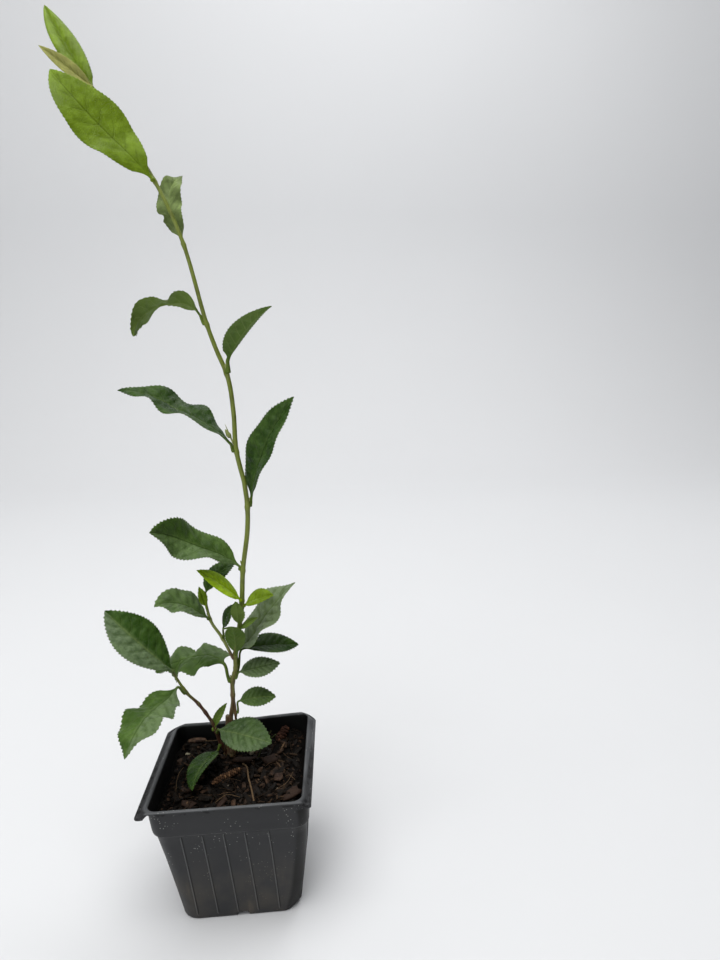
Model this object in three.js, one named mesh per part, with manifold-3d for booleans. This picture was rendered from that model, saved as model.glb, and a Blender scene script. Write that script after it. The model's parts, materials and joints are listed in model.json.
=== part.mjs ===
// A young tea plant in its square nursery pot, in millimetres with +Z up. The pot stands on z = 0.
// X runs along the pot's front to the right and Y runs to its back, with the pot's middle at 0, 0.
import * as THREE from 'three';
import { mergeVertices } from 'three/addons/utils/BufferGeometryUtils.js';
import Module from 'manifold-3d';

const wasm = await Module();
wasm.setup();

// Clearance that touching pieces keep
const SEAT = 0.3;

// Pot: outside half widths of the thin moulded wall, and heights
const POT_HEIGHT = 78;
const CORNER_STEPS = 4;
const BASE_HALF = 30.4;
const BASE_CORNER = 9;
const BASE_BEVEL = 0.8;
const BODY_TOP_HALF = 38.6;
const BODY_CORNER = 7.5;
const BODY_TOP = 63.5;
const BAND_HALF = 39.5;
const BAND_BOTTOM = 64.7;
const RIM_HALF = 40;
const RIM_CORNER = 6;
const RIM_LIP = 1.8;
const WALL = 1.2;
const FLOOR = 1.5;
const FLANGE_WIDTH = 5;
const FLANGE_DROP = 2.6;
const FLANGE_EDGE = 1.3;
const FLANGE_TAPER = 0.3;
const FLANGE_CHAMFER = 9;
const FLANGE_END = 1.5;
const FRONT_BEAD = 0.9;
// The soft rim is pushed out of square: its front edge lies this far to the left of its back edge
const RIM_SKEW = 7;
// Upright ribs moulded on each side of the body, between these clearances to its foot and its band
const RIB_COUNT = 5;
const RIB_PITCH = 11;
const RIB_WIDTH = 1.2;
const RIB_PROUD = 0.4;
const RIB_FOOT = 2.5;
const RIB_TOP_CLEAR = 1;
// Drain holes through the floor's corners and notches under the middle of each side
const DRAIN_RADIUS = 3.5;
const DRAIN_OFFSET = 19;
const NOTCH_WIDTH = 7;
const NOTCH_HEIGHT = 3;
const NOTCH_DEPTH = 6;

// Potting mix: its level, the height of its lumps, and the flat patch round the plant's foot
const SOIL_LEVEL = 69.5;
const SOIL_LUMP = 0.9;
const SOIL_FLAT = 7;
const SOIL_CLEAR = 0.5;
const SOIL_RINGS = [0.85, 0.68, 0.5, 0.34];

const COLOURS = {
  pot: 0x3a3d42,
  soil: 0x35261b,
  bark: 0x6a4b33,
  greenStem: 0x84964a,
  twig: 0x6b3d2b,
  leaf: 0x3f652b,
  paleLeaf: 0x55703f,
  youngLeaf: 0x8aa92c,
};

// Stems: bends from foot to tip, and radii at those bends
const TRUNK_PATH = [[-6, 19, 69.8], [-6, 19, 79.5], [-5, 19, 95.5], [-3.5, 18.5, 103.5],
  [-3, 18.5, 118], [-1, 18, 125.5], [-1, 18, 132.7]];
const TRUNK_RADII = [1.9, 1.7, 1.25, 1.3, 1.2, 1.15, 1.15];
const ROOT_FLARE = 1.1;
const ROOT_FLARE_HEIGHT = 4;
// The old stem's cut stub beside the trunk, and the thin strand that leaves and rejoins it
const STUB_PATH = [[-7, 19.3, 72], [-7.3, 19.4, 83], [-7.1, 19.4, 95]];
const STUB_RADII = [1.9, 1.6, 1.3];
const STRAND_PATH = [[-4.8, 18.9, 75], [-3, 18.6, 84], [-2.3, 18.5, 95.5], [-2.6, 18.5, 102.5],
  [-3.1, 18.5, 108]];
const STRAND_RADII = [0.9, 0.8, 0.75, 0.75, 0.5];
const LEADER_LOWER_PATH = [[-1, 18, 133.2], [1.5, 17, 146], [4.5, 16, 167], [6, 15.5, 186.5],
  [9.5, 15, 210], [10, 15, 224], [9, 15, 236]];
const LEADER_LOWER_RADII = [1.15, 1.2, 1.2, 1.15, 1.15, 1.15, 1.1];
const LEADER_UPPER_PATH = [[8.95, 15, 236.4], [5.5, 15, 254.5], [5, 15.5, 274.5], [3, 16, 292], [-2.5, 17, 307],
  [-6.5, 17.5, 319.5], [-16.5, 20, 360], [-29.3, 23.5, 389.3], [-56.1, 33, 430.8]];
const LEADER_UPPER_RADII = [1.1, 1.1, 1.05, 1.05, 1, 0.95, 0.85, 0.8, 0.6];
const LEFT_SHOOT_PATH = [[-2.8, 17.3, 134.6], [-7.5, 17, 146], [-13, 17, 156], [-15, 17, 165.5],
  [-15.2, 17, 169.5]];
const LEFT_SHOOT_RADII = [0.8, 0.8, 0.75, 0.7, 0.6];
const LOW_TWIG_PATH = [[-9.4, 17.1, 73.5], [-12, 15.5, 80.5], [-15, 14.5, 92.5], [-22.5, 13.5, 107],
  [-28.5, 12.5, 115], [-36, 10.5, 131.5]];
const LOW_TWIG_RADII = [1.1, 1, 0.95, 0.85, 0.8, 0.65];

const SIDES = 10;
const STEM_STEP = 5;

// Leaves. node is the height at which the petiole leaves its stem (at the stem's tip where it is left out).
// Bearings are seen from above: 0 to the right, 90 to the back, 180 to the left, 270 to the front.
// seat is the side of the stem that the petiole stands on, where it isn't the blade's own bearing.
// droop bends the blade down, swing to its left and twist turns it, over its length or over each third of it.
// wave is the height of the margin's waves, waves their number, and phase where the two margins start.
const LEAVES = [
  { name: 'leaf_trunk_right_1', stem: 'trunk_strand', node: 97, petiole: 7.5, petioleRise: 80,
    bearing: 4, rise: 12, length: 21.5, width: 15, droop: 20, swing: -4, roll: 10, twist: 20, fold: 12 },
  { name: 'leaf_trunk_right_2', stem: 'trunk', node: 120, petiole: 4.5, petioleRise: 60, seat: 350,
    bearing: 8, rise: 7, length: 24, width: 14, droop: 13, roll: 20, twist: 15, fold: 5 },
  { name: 'leaf_trunk_right_3', stem: 'trunk', node: 123.5, petiole: 14, petioleRise: 70, seat: 30,
    bearing: 20, rise: 0, length: 34, width: 18, droop: 14, swing: -5, roll: 5, twist: 25, fold: 15 },
  { name: 'leaf_trunk_right_4', stem: 'trunk', node: 127, petiole: 12, petioleRise: 75, seat: 60,
    bearing: 358, rise: 23, length: 48.5, width: 26, belly: 0.5, droop: [-29, 5, 0],
    swing: [22, -11, -10], roll: 15, twist: [-1, 11, -32], fold: 14, wave: 1.8, waves: 2.2,
    phase: [-97, 183] },
  { name: 'leaf_trunk_left', stem: 'trunk', node: 117.5, petiole: 11, petioleRise: 75, seat: 170,
    bearing: 154, rise: 50, length: 49, width: 27, droop: [55, 15, -3], swing: [32, -4, 15], roll: -34,
    twist: [26, -18, -35], fold: -6, wave: 3.6, waves: 3, phase: [275, 64] },
  { name: 'leaf_shoot_left', stem: 'left_shoot', node: 156.5, petiole: 2.6, petioleRise: 50, seat: 200,
    bearing: 185, rise: 39, length: 31, width: 22.5, belly: 0.5, droop: [3, 18, 15], swing: [0, 8, 35],
    roll: -23, twist: [18, -18, 18], fold: 18, wave: 1.3, waves: 2.2, phase: [17, 166] },
  { name: 'leaf_shoot_right', stem: 'left_shoot', node: 146, petiole: 8, petioleRise: 85, seat: 320,
    bearing: 7, rise: 64, length: 14, width: 7, droop: 15, roll: 13, twist: 8, fold: 9 },
  { name: 'leaf_young_right', stem: 'leader_lower', node: 164, petiole: 2.5, petioleRise: 50,
    bearing: 339, rise: 40, length: 19, width: 13, droop: 30, swing: -10, roll: 20, twist: 10, fold: 15,
    tone: 'youngLeaf' },
  { name: 'leaf_young_left', stem: 'leader_lower', node: 167.5, petiole: 2.5, petioleRise: 60,
    bearing: 196, rise: 52, length: 31, width: 13, droop: 12, swing: 10, roll: -21, twist: -14, fold: 8,
    tone: 'youngLeaf' },
  { name: 'leaf_leader_1', stem: 'leader_lower', node: 186.5, petiole: 4, petioleRise: 80,
    bearing: 173, rise: 43, length: 58, width: 23, belly: 0.52, droop: [15, -16, -22],
    swing: [18, 10, 27], roll: -17, twist: [0, -20, 3], fold: 14, wave: 3, waves: 1.7,
    phase: [-132, -34] },
  { name: 'leaf_leader_2', stem: 'leader_lower', node: 223.5, petiole: 4, petioleRise: 78,
    bearing: 16, rise: 80, length: 60, width: 25, droop: 22, swing: -16, roll: 6, twist: 20, fold: 20 },
  { name: 'leaf_leader_3', stem: 'leader_upper', node: 254, petiole: 4, petioleRise: 70,
    bearing: 181, rise: 54, length: 68, width: 24, droop: [30, -3, 12], swing: [-21, 2, 28], roll: 3,
    twist: [-20, -5, -16], fold: 16, wave: 2.4, waves: 2.7, phase: [103, 120] },
  { name: 'leaf_leader_4', stem: 'leader_upper', node: 295, petiole: 6, petioleRise: 85,
    bearing: 322, rise: 60, length: 39, width: 20, droop: 30, swing: 4, roll: 4, twist: -4, fold: 20 },
  { name: 'leaf_leader_5', stem: 'leader_upper', node: 316.5, petiole: 6.5, petioleRise: 65,
    bearing: 160, rise: 72, length: 46.5, width: 24, droop: [78, 35, 38], swing: [2, 22, -17], roll: 16,
    twist: [26, -8, 80], fold: 8, wave: 4, waves: 1.9, phase: [-34, 189] },
  { name: 'leaf_leader_6', stem: 'leader_upper', node: 358, petiole: 2.5, petioleRise: 60, seat: 105,
    bearing: 127, rise: 51, length: 43, width: 12, droop: [-19, 34, 23], swing: [-4, -27, -14], roll: -32,
    twist: [-15, 21, -15], fold: 15, wave: 3, waves: 2.4, phase: [155, 264], tone: 'paleLeaf' },
  { name: 'leaf_leader_7', stem: 'leader_upper', node: 388.5, petiole: 3, petioleRise: 35, seat: 245,
    bearing: 195, rise: 49, length: 61, width: 27, belly: 0.52, droop: [16, -14, 22], swing: [2, 4, -16],
    roll: -94, twist: [30, -6, -12], fold: 9, wave: 1.3, waves: 1.8, phase: [-46, 120],
    tone: 'youngLeaf' },
  { name: 'leaf_twig_tip', stem: 'low_twig', petiole: 1.5, petioleRise: 65,
    bearing: 181, rise: 46, length: 49, width: 27, belly: 0.5, droop: 11, swing: -14, roll: -21,
    twist: -30, fold: 3 },
  { name: 'leaf_twig_hanging', stem: 'low_twig', node: 115, petiole: 9, petioleRise: 45,
    bearing: 240, rise: -18, length: 55, width: 27, belly: 0.48, droop: [-19, 6, 35],
    swing: [-5, 13, -14], roll: -33, twist: [37, 4, 20], fold: 4, wave: 2.4, waves: 3.2,
    phase: [132, 252] },
  { name: 'leaf_twig_small', stem: 'low_twig', node: 92, petiole: 3.5, petioleRise: 80,
    bearing: 34, rise: 53, length: 11, width: 5, droop: 20, roll: 3, fold: 12, tone: 'paleLeaf' },
  { name: 'leaf_twig_front', stem: 'low_twig', node: 88, petiole: 3.5, petioleRise: 50, seat: 300,
    bearing: 333, rise: 3, length: 33, width: 22, droop: 19, swing: 3, roll: 24, fold: 5 },
  { name: 'leaf_twig_low', stem: 'low_twig', node: 79, petiole: 3.5, petioleRise: -40,
    bearing: 237, rise: 12, length: 34, width: 16, droop: 30, swing: 17, roll: 7, twist: 30, fold: 19 },
];

// Small shoots: a short stem of their own with the leaves that share it fused on
const SPRAYS = [
  { name: 'spray_fork', stem: 'leader_lower', node: 136, petiole: 5.5, petioleRise: 50, seat: 262,
    reach: 16, lean: 85, radius: 0.6,
    leaves: [
      { at: 0.1, bearing: 270, rise: 75, length: 27, width: 12, droop: 33, fold: 20 },
      { at: 0.95, bearing: 250, rise: 80, length: 16, width: 6, droop: 9, roll: 8, fold: 8 },
      { at: 0.9, bearing: 205, rise: 25, length: 10, width: 4, droop: 20, fold: 10 },
      { at: 0.85, bearing: 338, rise: 40, length: 14, width: 6, droop: 10, roll: 28, fold: 8 },
    ] },
  { name: 'spray_shoot', stem: 'left_shoot', petiole: 1.5, petioleRise: 80,
    reach: 3, lean: 80, radius: 0.55,
    leaves: [
      { at: 0.6, bearing: 50, rise: 51, length: 30, width: 13, droop: 37, swing: -8, roll: 3, twist: 12,
        fold: 18 },
      { at: 0.9, bearing: 150, rise: 84, length: 10, width: 3.6, droop: 7, fold: 16 },
    ] },
  { name: 'spray_top', stem: 'leader_upper', petiole: 1.5, petioleRise: 60,
    reach: 4, lean: 55, radius: 0.6, tone: 'youngLeaf',
    leaves: [
      { at: 0.5, bearing: 152, rise: 53, length: 50, width: 12, droop: 12, swing: -13, roll: -33,
        twist: -10, fold: 33 },
      { at: 0.9, bearing: 200, rise: 34, length: 23, width: 5, droop: 4, roll: 13, fold: 30 },
    ] },
];

// A leaf's section: stations along it and points across it, top then bottom
const PETIOLE_STEPS = 4;
const BLADE_STEPS = 12;
const ACROSS = [-1, -0.5, 0, 0.5, 1];
const MARGIN_POWER = 0.85;
const BLADE_BLEND = 0.12;
const TIP_HALF = 0.3;
// A blade's thickness, and a petiole's radius: at least this, and more by these shares of the leaf's length
const BLADE_THICK = 0.5;
const BLADE_THICK_SHARE = 0.011;
const PETIOLE_RADIUS = 0.42;
const PETIOLE_RADIUS_SHARE = 0.004;
const SPRAY_PETIOLE = 1.2;
const SPRAY_PETIOLE_RADIUS = 0.35;
const SPRAY_PETIOLE_SHARE = 0.003;
// How far chance turns a spray's leaves, in degrees
const SPRAY_JITTER = 4;

const vector = (p) => new THREE.Vector3(p[0], p[1], p[2]);
const radians = THREE.MathUtils.degToRad;

// Seeded numbers between 0 and 1, the same on every run
function randomNumbers(seed) {
  let state = seed;
  return () => {
    state = (state * 1664525 + 1013904223) % 4294967296;
    return state / 4294967296;
  };
}

// A closed body from rings that hold the same number of points, each ring running anticlockwise
// as seen from the side that the rings climb to
function loft(rings) {
  const count = rings[0].length;
  const points = rings.flat();
  const faces = [];
  for (let i = 0; i + 1 < rings.length; i += 1) {
    for (let j = 0; j < count; j += 1) {
      const a = i * count + j;
      const b = i * count + ((j + 1) % count);
      faces.push(a, b, b + count, a, b + count, a + count);
    }
  }
  const last = (rings.length - 1) * count;
  addFan(points, faces, rings[0], 0, true);
  addFan(points, faces, rings[rings.length - 1], last, false);
  return meshFrom(points, faces);
}

// Closes a ring with triangles round its middle
function addFan(points, faces, ring, start, reversed) {
  const middle = new THREE.Vector3();
  ring.forEach((p) => middle.addScaledVector(p, 1 / ring.length));
  const centre = points.length;
  points.push(middle);
  for (let j = 0; j < ring.length; j += 1) {
    const a = start + j;
    const b = start + ((j + 1) % ring.length);
    if (reversed) faces.push(b, a, centre);
    else faces.push(a, b, centre);
  }
}

function meshFrom(points, faces) {
  const geometry = new THREE.BufferGeometry();
  const numbers = points.flatMap((p) => [p.x, p.y, p.z]);
  geometry.setAttribute('position', new THREE.Float32BufferAttribute(numbers, 3));
  geometry.setIndex(faces);
  return geometry;
}

function toSolid(geometry) {
  const bare = geometry.clone();
  bare.deleteAttribute('normal');
  bare.deleteAttribute('uv');
  const merged = mergeVertices(bare, 1e-4);
  const mesh = new wasm.Mesh({
    numProp: 3,
    vertProperties: new Float32Array(merged.attributes.position.array),
    triVerts: new Uint32Array(merged.index.array),
  });
  return new wasm.Manifold(mesh);
}

function fromSolid(solid) {
  const mesh = solid.getMesh();
  const geometry = new THREE.BufferGeometry();
  geometry.setAttribute('position', new THREE.BufferAttribute(new Float32Array(mesh.vertProperties), 3));
  geometry.setIndex(new THREE.BufferAttribute(new Uint32Array(mesh.triVerts), 1));
  return geometry;
}

function fuse(geometries) {
  return fromSolid(geometries.map(toSolid).reduce((whole, next) => whole.add(next)));
}

// Pot and potting mix

// Moves a point sideways as the pushed rim does: not at all at the floor, most at the rim's front
function skewed(x, y, z) {
  const frontness = 0.5 - y / (2 * RIM_HALF);
  return new THREE.Vector3(x - RIM_SKEW * (z / POT_HEIGHT) * frontness, y, z);
}

// One side of the pot's outline from corner to corner, with its ribs.
// u runs along the side, v stands out from it
function sidePoints(proud) {
  const points = [];
  for (let i = 0; i < RIB_COUNT; i += 1) {
    const middle = (i - (RIB_COUNT - 1) / 2) * RIB_PITCH;
    points.push([middle - RIB_WIDTH, 0], [middle - RIB_WIDTH / 2, proud]);
    points.push([middle + RIB_WIDTH / 2, proud], [middle + RIB_WIDTH, 0]);
  }
  return points;
}

// The pot's outline at one height. reach holds the half widths at front, right, back and left;
// corners the radii at front right, back right, back left and front left
function potRing(z, reach, corners, proud = 0) {
  const ring = [];
  const turn = [[0, -1], [1, 0], [0, 1], [-1, 0]];
  for (let side = 0; side < 4; side += 1) {
    const [ox, oy] = turn[side];
    const [ux, uy] = [-oy, ox];
    const out = reach[side];
    const next = reach[(side + 1) % 4];
    sidePoints(proud).forEach(([u, v]) => {
      const scale = out / RIM_HALF;
      ring.push(skewed(ux * u * scale + ox * (out + v), uy * u * scale + oy * (out + v), z));
    });
    const r = corners[side];
    for (let k = 0; k <= CORNER_STEPS; k += 1) {
      const angle = (k / CORNER_STEPS) * (Math.PI / 2);
      const u = next - r + r * Math.sin(angle);
      const v = out - r + r * Math.cos(angle);
      ring.push(skewed(ux * u + ox * v, uy * u + oy * v, z));
    }
  }
  return ring;
}

const evenRing = (z, half, corner, proud) => potRing(z, [half, half, half, half], Array(4).fill(corner), proud);

// The rim's flange stands out on the right, back and left, and only as a thin bead at the front
function flangeRing(z, out) {
  const wide = RIM_HALF + out;
  const front = RIM_HALF + Math.min(out, FRONT_BEAD);
  return potRing(z, [front, wide, wide, wide], [FLANGE_END, FLANGE_CHAMFER, FLANGE_CHAMFER, FLANGE_END]);
}

// Half width of the body's outside at a height below the band
function bodyHalf(z) {
  return THREE.MathUtils.lerp(BASE_HALF, BODY_TOP_HALF, z / BODY_TOP);
}

function potGeometry() {
  const outside = loft([
    evenRing(0, BASE_HALF - BASE_BEVEL, BASE_CORNER - BASE_BEVEL),
    evenRing(BASE_BEVEL, bodyHalf(BASE_BEVEL), BASE_CORNER),
    evenRing(RIB_FOOT, bodyHalf(RIB_FOOT), BASE_CORNER, RIB_PROUD),
    evenRing(BODY_TOP - RIB_TOP_CLEAR, bodyHalf(BODY_TOP - RIB_TOP_CLEAR), BODY_CORNER, RIB_PROUD),
    evenRing(BODY_TOP, BODY_TOP_HALF, BODY_CORNER),
    evenRing(BAND_BOTTOM, BAND_HALF, BODY_CORNER),
    evenRing(POT_HEIGHT - RIM_LIP, RIM_HALF, RIM_CORNER),
    flangeRing(POT_HEIGHT - FLANGE_DROP - FLANGE_EDGE, FLANGE_WIDTH - FLANGE_TAPER),
    flangeRing(POT_HEIGHT - FLANGE_DROP, FLANGE_WIDTH),
    evenRing(POT_HEIGHT, RIM_HALF, RIM_CORNER),
  ]);
  const cavity = loft([
    evenRing(FLOOR, bodyHalf(FLOOR) - WALL, BASE_CORNER - WALL),
    evenRing(BODY_TOP, BODY_TOP_HALF - WALL, BODY_CORNER - WALL),
    evenRing(BAND_BOTTOM, BAND_HALF - WALL, BODY_CORNER - WALL),
    evenRing(POT_HEIGHT + 1, RIM_HALF - WALL, RIM_CORNER - WALL),
  ]);
  let pot = toSolid(outside).subtract(toSolid(cavity));
  drainCuts().forEach((cut) => {
    pot = pot.subtract(toSolid(cut));
  });
  return fromSolid(pot);
}

function drainCuts() {
  const cuts = [];
  const hole = new THREE.CylinderGeometry(DRAIN_RADIUS, DRAIN_RADIUS, 3 * FLOOR, 16);
  hole.rotateX(Math.PI / 2);
  [[1, 1], [-1, 1], [-1, -1], [1, -1]].forEach(([sx, sy]) => {
    cuts.push(hole.clone().translate(sx * DRAIN_OFFSET, sy * DRAIN_OFFSET, 0));
  });
  for (let side = 0; side < 4; side += 1) {
    const notch = new THREE.BoxGeometry(NOTCH_WIDTH, NOTCH_DEPTH, 2 * NOTCH_HEIGHT);
    notch.translate(0, -BASE_HALF, 0).rotateZ(side * Math.PI / 2);
    cuts.push(notch);
  }
  return cuts;
}

// Height of the mix's lumps, none on the flat patch round the plant's foot
function soilHeight(x, y) {
  const away = Math.hypot(x - TRUNK_PATH[0][0], y - TRUNK_PATH[0][1]);
  const lumps = Math.sin(x * 0.31 + 1.3) * Math.cos(y * 0.27) + 0.6 * Math.sin(x * 0.17 - y * 0.4);
  return SOIL_LEVEL + SOIL_LUMP * lumps * THREE.MathUtils.smoothstep(away, SOIL_FLAT, 3 * SOIL_FLAT);
}

// Keeps the corners of a pot outline and every fifth point of its sides
function keptPoint(_, i) {
  const sideCount = 4 * RIB_COUNT;
  return i % 5 === 0 || i % (sideCount + CORNER_STEPS + 1) >= sideCount;
}

function soilGeometry() {
  const inset = WALL + SOIL_CLEAR;
  const plain = (z, half, corner) => evenRing(z, half - inset, corner - inset).filter(keptPoint);
  const top = plain(SOIL_LEVEL, BODY_TOP_HALF, BODY_CORNER);
  const foot = new THREE.Vector3(TRUNK_PATH[0][0], TRUNK_PATH[0][1], SOIL_LEVEL);
  const rings = [
    plain(FLOOR + SOIL_CLEAR, bodyHalf(FLOOR), BASE_CORNER),
    plain(BODY_TOP, BODY_TOP_HALF, BODY_CORNER),
    top,
  ];
  SOIL_RINGS.forEach((share) => {
    rings.push(top.map((p) => {
      const q = foot.clone().lerp(p, share);
      return new THREE.Vector3(q.x, q.y, soilHeight(q.x, q.y));
    }));
  });
  rings.push(top.map((p) => foot.clone().add(p.clone().sub(foot).setZ(0).setLength(SOIL_FLAT))));
  return loft(rings);
}

// Stems

// A stem's centre line with the radius at any height along it
class Stem {
  constructor(path, radii) {
    this.curve = new THREE.CatmullRomCurve3(path.map(vector), false, 'centripetal');
    this.heights = path.map((p) => p[2]);
    this.radii = radii;
  }

  radiusAt(z) {
    const { heights, radii } = this;
    for (let i = 0; i + 1 < heights.length; i += 1) {
      if (z <= heights[i + 1]) {
        const t = Math.max(0, (z - heights[i]) / (heights[i + 1] - heights[i]));
        return THREE.MathUtils.lerp(radii[i], radii[i + 1], t);
      }
    }
    return radii[radii.length - 1];
  }

  // The place along the curve, 0 to 1, at which the stem reaches a height
  placeAt(z) {
    let low = 0;
    let high = 1;
    for (let i = 0; i < 30; i += 1) {
      const middle = (low + high) / 2;
      if (this.curve.getPointAt(middle).z < z) low = middle;
      else high = middle;
    }
    return (low + high) / 2;
  }

  // Where a petiole stands: its foot clear of the bark, and the way it leaves
  seat(node, bearing) {
    if (node === undefined) {
      const along = this.curve.getTangentAt(1);
      return { foot: this.curve.getPointAt(1).addScaledVector(along, SEAT), out: along };
    }
    const place = this.placeAt(node);
    const along = this.curve.getTangentAt(place);
    const out = new THREE.Vector3(Math.cos(radians(bearing)), Math.sin(radians(bearing)), 0);
    out.addScaledVector(along, -out.dot(along)).normalize();
    const foot = this.curve.getPointAt(place).addScaledVector(out, this.radiusAt(node) + SEAT);
    return { foot, out };
  }
}

function circle(centre, side, normal, radius) {
  const ring = [];
  for (let j = 0; j < SIDES; j += 1) {
    const angle = Math.PI - ((j + 0.5) * 2 * Math.PI) / SIDES;
    ring.push(centre.clone()
      .addScaledVector(side, radius * Math.cos(angle))
      .addScaledVector(normal, radius * Math.sin(angle)));
  }
  return ring;
}

// flat cuts the foot level with the ground; otherwise both ends are square to the stem
function stemGeometry(stem, { flatFoot = false, flare = 0 } = {}) {
  const steps = Math.max(3, Math.round(stem.curve.getLength() / STEM_STEP));
  const rings = [];
  let side = new THREE.Vector3(1, 0, 0);
  for (let i = 0; i <= steps; i += 1) {
    const centre = stem.curve.getPointAt(i / steps);
    const along = flatFoot && i === 0 ? new THREE.Vector3(0, 0, 1) : stem.curve.getTangentAt(i / steps);
    side = side.clone().addScaledVector(along, -side.dot(along)).normalize();
    const normal = along.clone().cross(side);
    const spread = flare * Math.exp(-(centre.z - stem.heights[0]) / ROOT_FLARE_HEIGHT);
    rings.push(circle(centre, side, normal, stem.radiusAt(centre.z) + spread).reverse());
  }
  return loft(rings);
}

// Leaves

// How much of a bend falls on a step: a number is spread evenly, a list gives each third its own
function bendStep(bend = 0, u, steps) {
  const total = Array.isArray(bend) ? 3 * bend[Math.min(2, Math.floor(u * 3))] : bend;
  return radians(total) / steps;
}

// Turns the pair of axes a, b towards each other by an angle
function turnPair(a, b, angle) {
  const turned = a.clone().multiplyScalar(Math.cos(angle)).addScaledVector(b, Math.sin(angle));
  b.multiplyScalar(Math.cos(angle)).addScaledVector(a, -Math.sin(angle));
  a.copy(turned);
}

// The blade's axes where it starts: along it, to its left and out of its upper face
function bladeFrame(leaf) {
  const bearing = radians(leaf.bearing);
  const rise = radians(leaf.rise);
  const along = new THREE.Vector3(
    Math.cos(bearing) * Math.cos(rise),
    Math.sin(bearing) * Math.cos(rise),
    Math.sin(rise),
  );
  const left = new THREE.Vector3(-Math.sin(bearing), Math.cos(bearing), 0);
  const up = along.clone().cross(left);
  turnPair(left, up, radians(leaf.roll ?? 0));
  return { along, left, up };
}

function bladeHalfWidth(leaf, u) {
  const power = Math.log(0.5) / Math.log(leaf.belly ?? 0.45);
  const shape = Math.max(0, Math.sin(Math.PI * u ** power)) ** MARGIN_POWER;
  return Math.max(TIP_HALF, (leaf.width / 2) * shape);
}

// Height of the margin's wave at u along the blade
function marginWave(leaf, u, v) {
  if (!leaf.wave) return 0;
  const phase = radians(leaf.phase[v > 0 ? 0 : 1]);
  const height = leaf.wave * Math.abs(v) * Math.sin(Math.PI * u);
  return height * Math.sin(2 * Math.PI * leaf.waves * u + phase);
}

function petioleRings(leaf, foot, out, base, frame, radius) {
  const length = foot.distanceTo(base);
  const curve = new THREE.CubicBezierCurve3(
    foot,
    foot.clone().addScaledVector(out, 0.35 * length),
    base.clone().addScaledVector(frame.along, -0.35 * length),
    base,
  );
  const rings = [];
  for (let i = 0; i < PETIOLE_STEPS; i += 1) {
    const along = curve.getTangentAt(i / PETIOLE_STEPS);
    const left = frame.left.clone().addScaledVector(along, -frame.left.dot(along)).normalize();
    const up = along.clone().cross(left);
    rings.push(circle(curve.getPointAt(i / PETIOLE_STEPS), left, up, radius));
  }
  return rings;
}

function bladeRings(leaf, base, frame, radius) {
  const thick = Math.max(BLADE_THICK, leaf.length * BLADE_THICK_SHARE);
  const { along, left, up } = { along: frame.along.clone(), left: frame.left.clone(), up: frame.up.clone() };
  const point = base.clone();
  const rings = [];
  for (let i = 0; i <= BLADE_STEPS; i += 1) {
    const u = i / BLADE_STEPS;
    const half = bladeHalfWidth(leaf, u);
    const fold = radians(leaf.fold ?? 0);
    const place = (v, lift) => point.clone()
      .addScaledVector(left, half * v * Math.cos(fold))
      .addScaledVector(up, half * Math.abs(v) * Math.sin(fold) + marginWave(leaf, u, v) + lift);
    const flat = [
      ...ACROSS.map((v) => place(v, thick / 2)),
      ...ACROSS.slice().reverse().map((v) => place(v, -thick / 2)),
    ];
    const round = circle(point, left, up, radius);
    const blend = Math.min(1, u / BLADE_BLEND);
    rings.push(round.map((p, j) => p.lerp(flat[j], blend)));
    turnPair(along, up, -bendStep(leaf.droop, u, BLADE_STEPS));
    turnPair(along, left, bendStep(leaf.swing, u, BLADE_STEPS));
    turnPair(left, up, bendStep(leaf.twist, u, BLADE_STEPS));
    point.addScaledVector(along, leaf.length / BLADE_STEPS);
  }
  return rings;
}

function leafGeometry(leaf, foot, out, radius) {
  const frame = bladeFrame(leaf);
  const rise = radians(leaf.petioleRise);
  const bearing = radians(leaf.seat ?? leaf.bearing);
  const base = foot.clone().add(new THREE.Vector3(
    leaf.petiole * Math.cos(rise) * Math.cos(bearing),
    leaf.petiole * Math.cos(rise) * Math.sin(bearing),
    leaf.petiole * Math.sin(rise),
  ));
  return loft([...petioleRings(leaf, foot, out, base, frame, radius), ...bladeRings(leaf, base, frame, radius)]
    .map((ring) => ring.slice().reverse()));
}

function singleLeaf(leaf) {
  const { foot, out } = stems[leaf.stem].seat(leaf.node, leaf.seat ?? leaf.bearing);
  return leafGeometry(leaf, foot, out, PETIOLE_RADIUS + leaf.length * PETIOLE_RADIUS_SHARE);
}

function sprayGeometry(spray, random) {
  const { foot, out } = stems[spray.stem].seat(spray.node, spray.seat ?? 180);
  const bearing = radians(spray.seat ?? 180);
  const rise = radians(spray.petioleRise);
  const lean = radians(spray.lean);
  const elbow = foot.clone().add(new THREE.Vector3(
    Math.cos(rise) * Math.cos(bearing),
    Math.cos(rise) * Math.sin(bearing),
    Math.sin(rise),
  ).multiplyScalar(spray.petiole));
  const tip = elbow.clone().add(new THREE.Vector3(
    Math.cos(lean) * Math.cos(bearing),
    Math.cos(lean) * Math.sin(bearing),
    Math.sin(lean),
  ).multiplyScalar(spray.reach));
  const leaving = foot.clone().addScaledVector(out, 0.4 * spray.petiole);
  const curve = new THREE.CubicBezierCurve3(foot, leaving, elbow, tip);
  const stem = new Stem([0, 0.03, 0.3, 0.6, 1].map((place) => curve.getPointAt(place).toArray()),
    [1, 1, 0.95, 0.85, 0.7].map((share) => share * spray.radius));
  const leaves = spray.leaves.map((leaf) => {
    const root = stem.curve.getPointAt(leaf.at);
    const bearing = leaf.bearing + SPRAY_JITTER * (random() - 0.5);
    const grown = { petiole: SPRAY_PETIOLE, petioleRise: leaf.rise, ...leaf, bearing };
    const radius = SPRAY_PETIOLE_RADIUS + leaf.length * SPRAY_PETIOLE_SHARE;
    return leafGeometry(grown, root, bladeFrame(grown).along, radius);
  });
  return fuse([stemGeometry(stem), ...leaves]);
}

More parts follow.
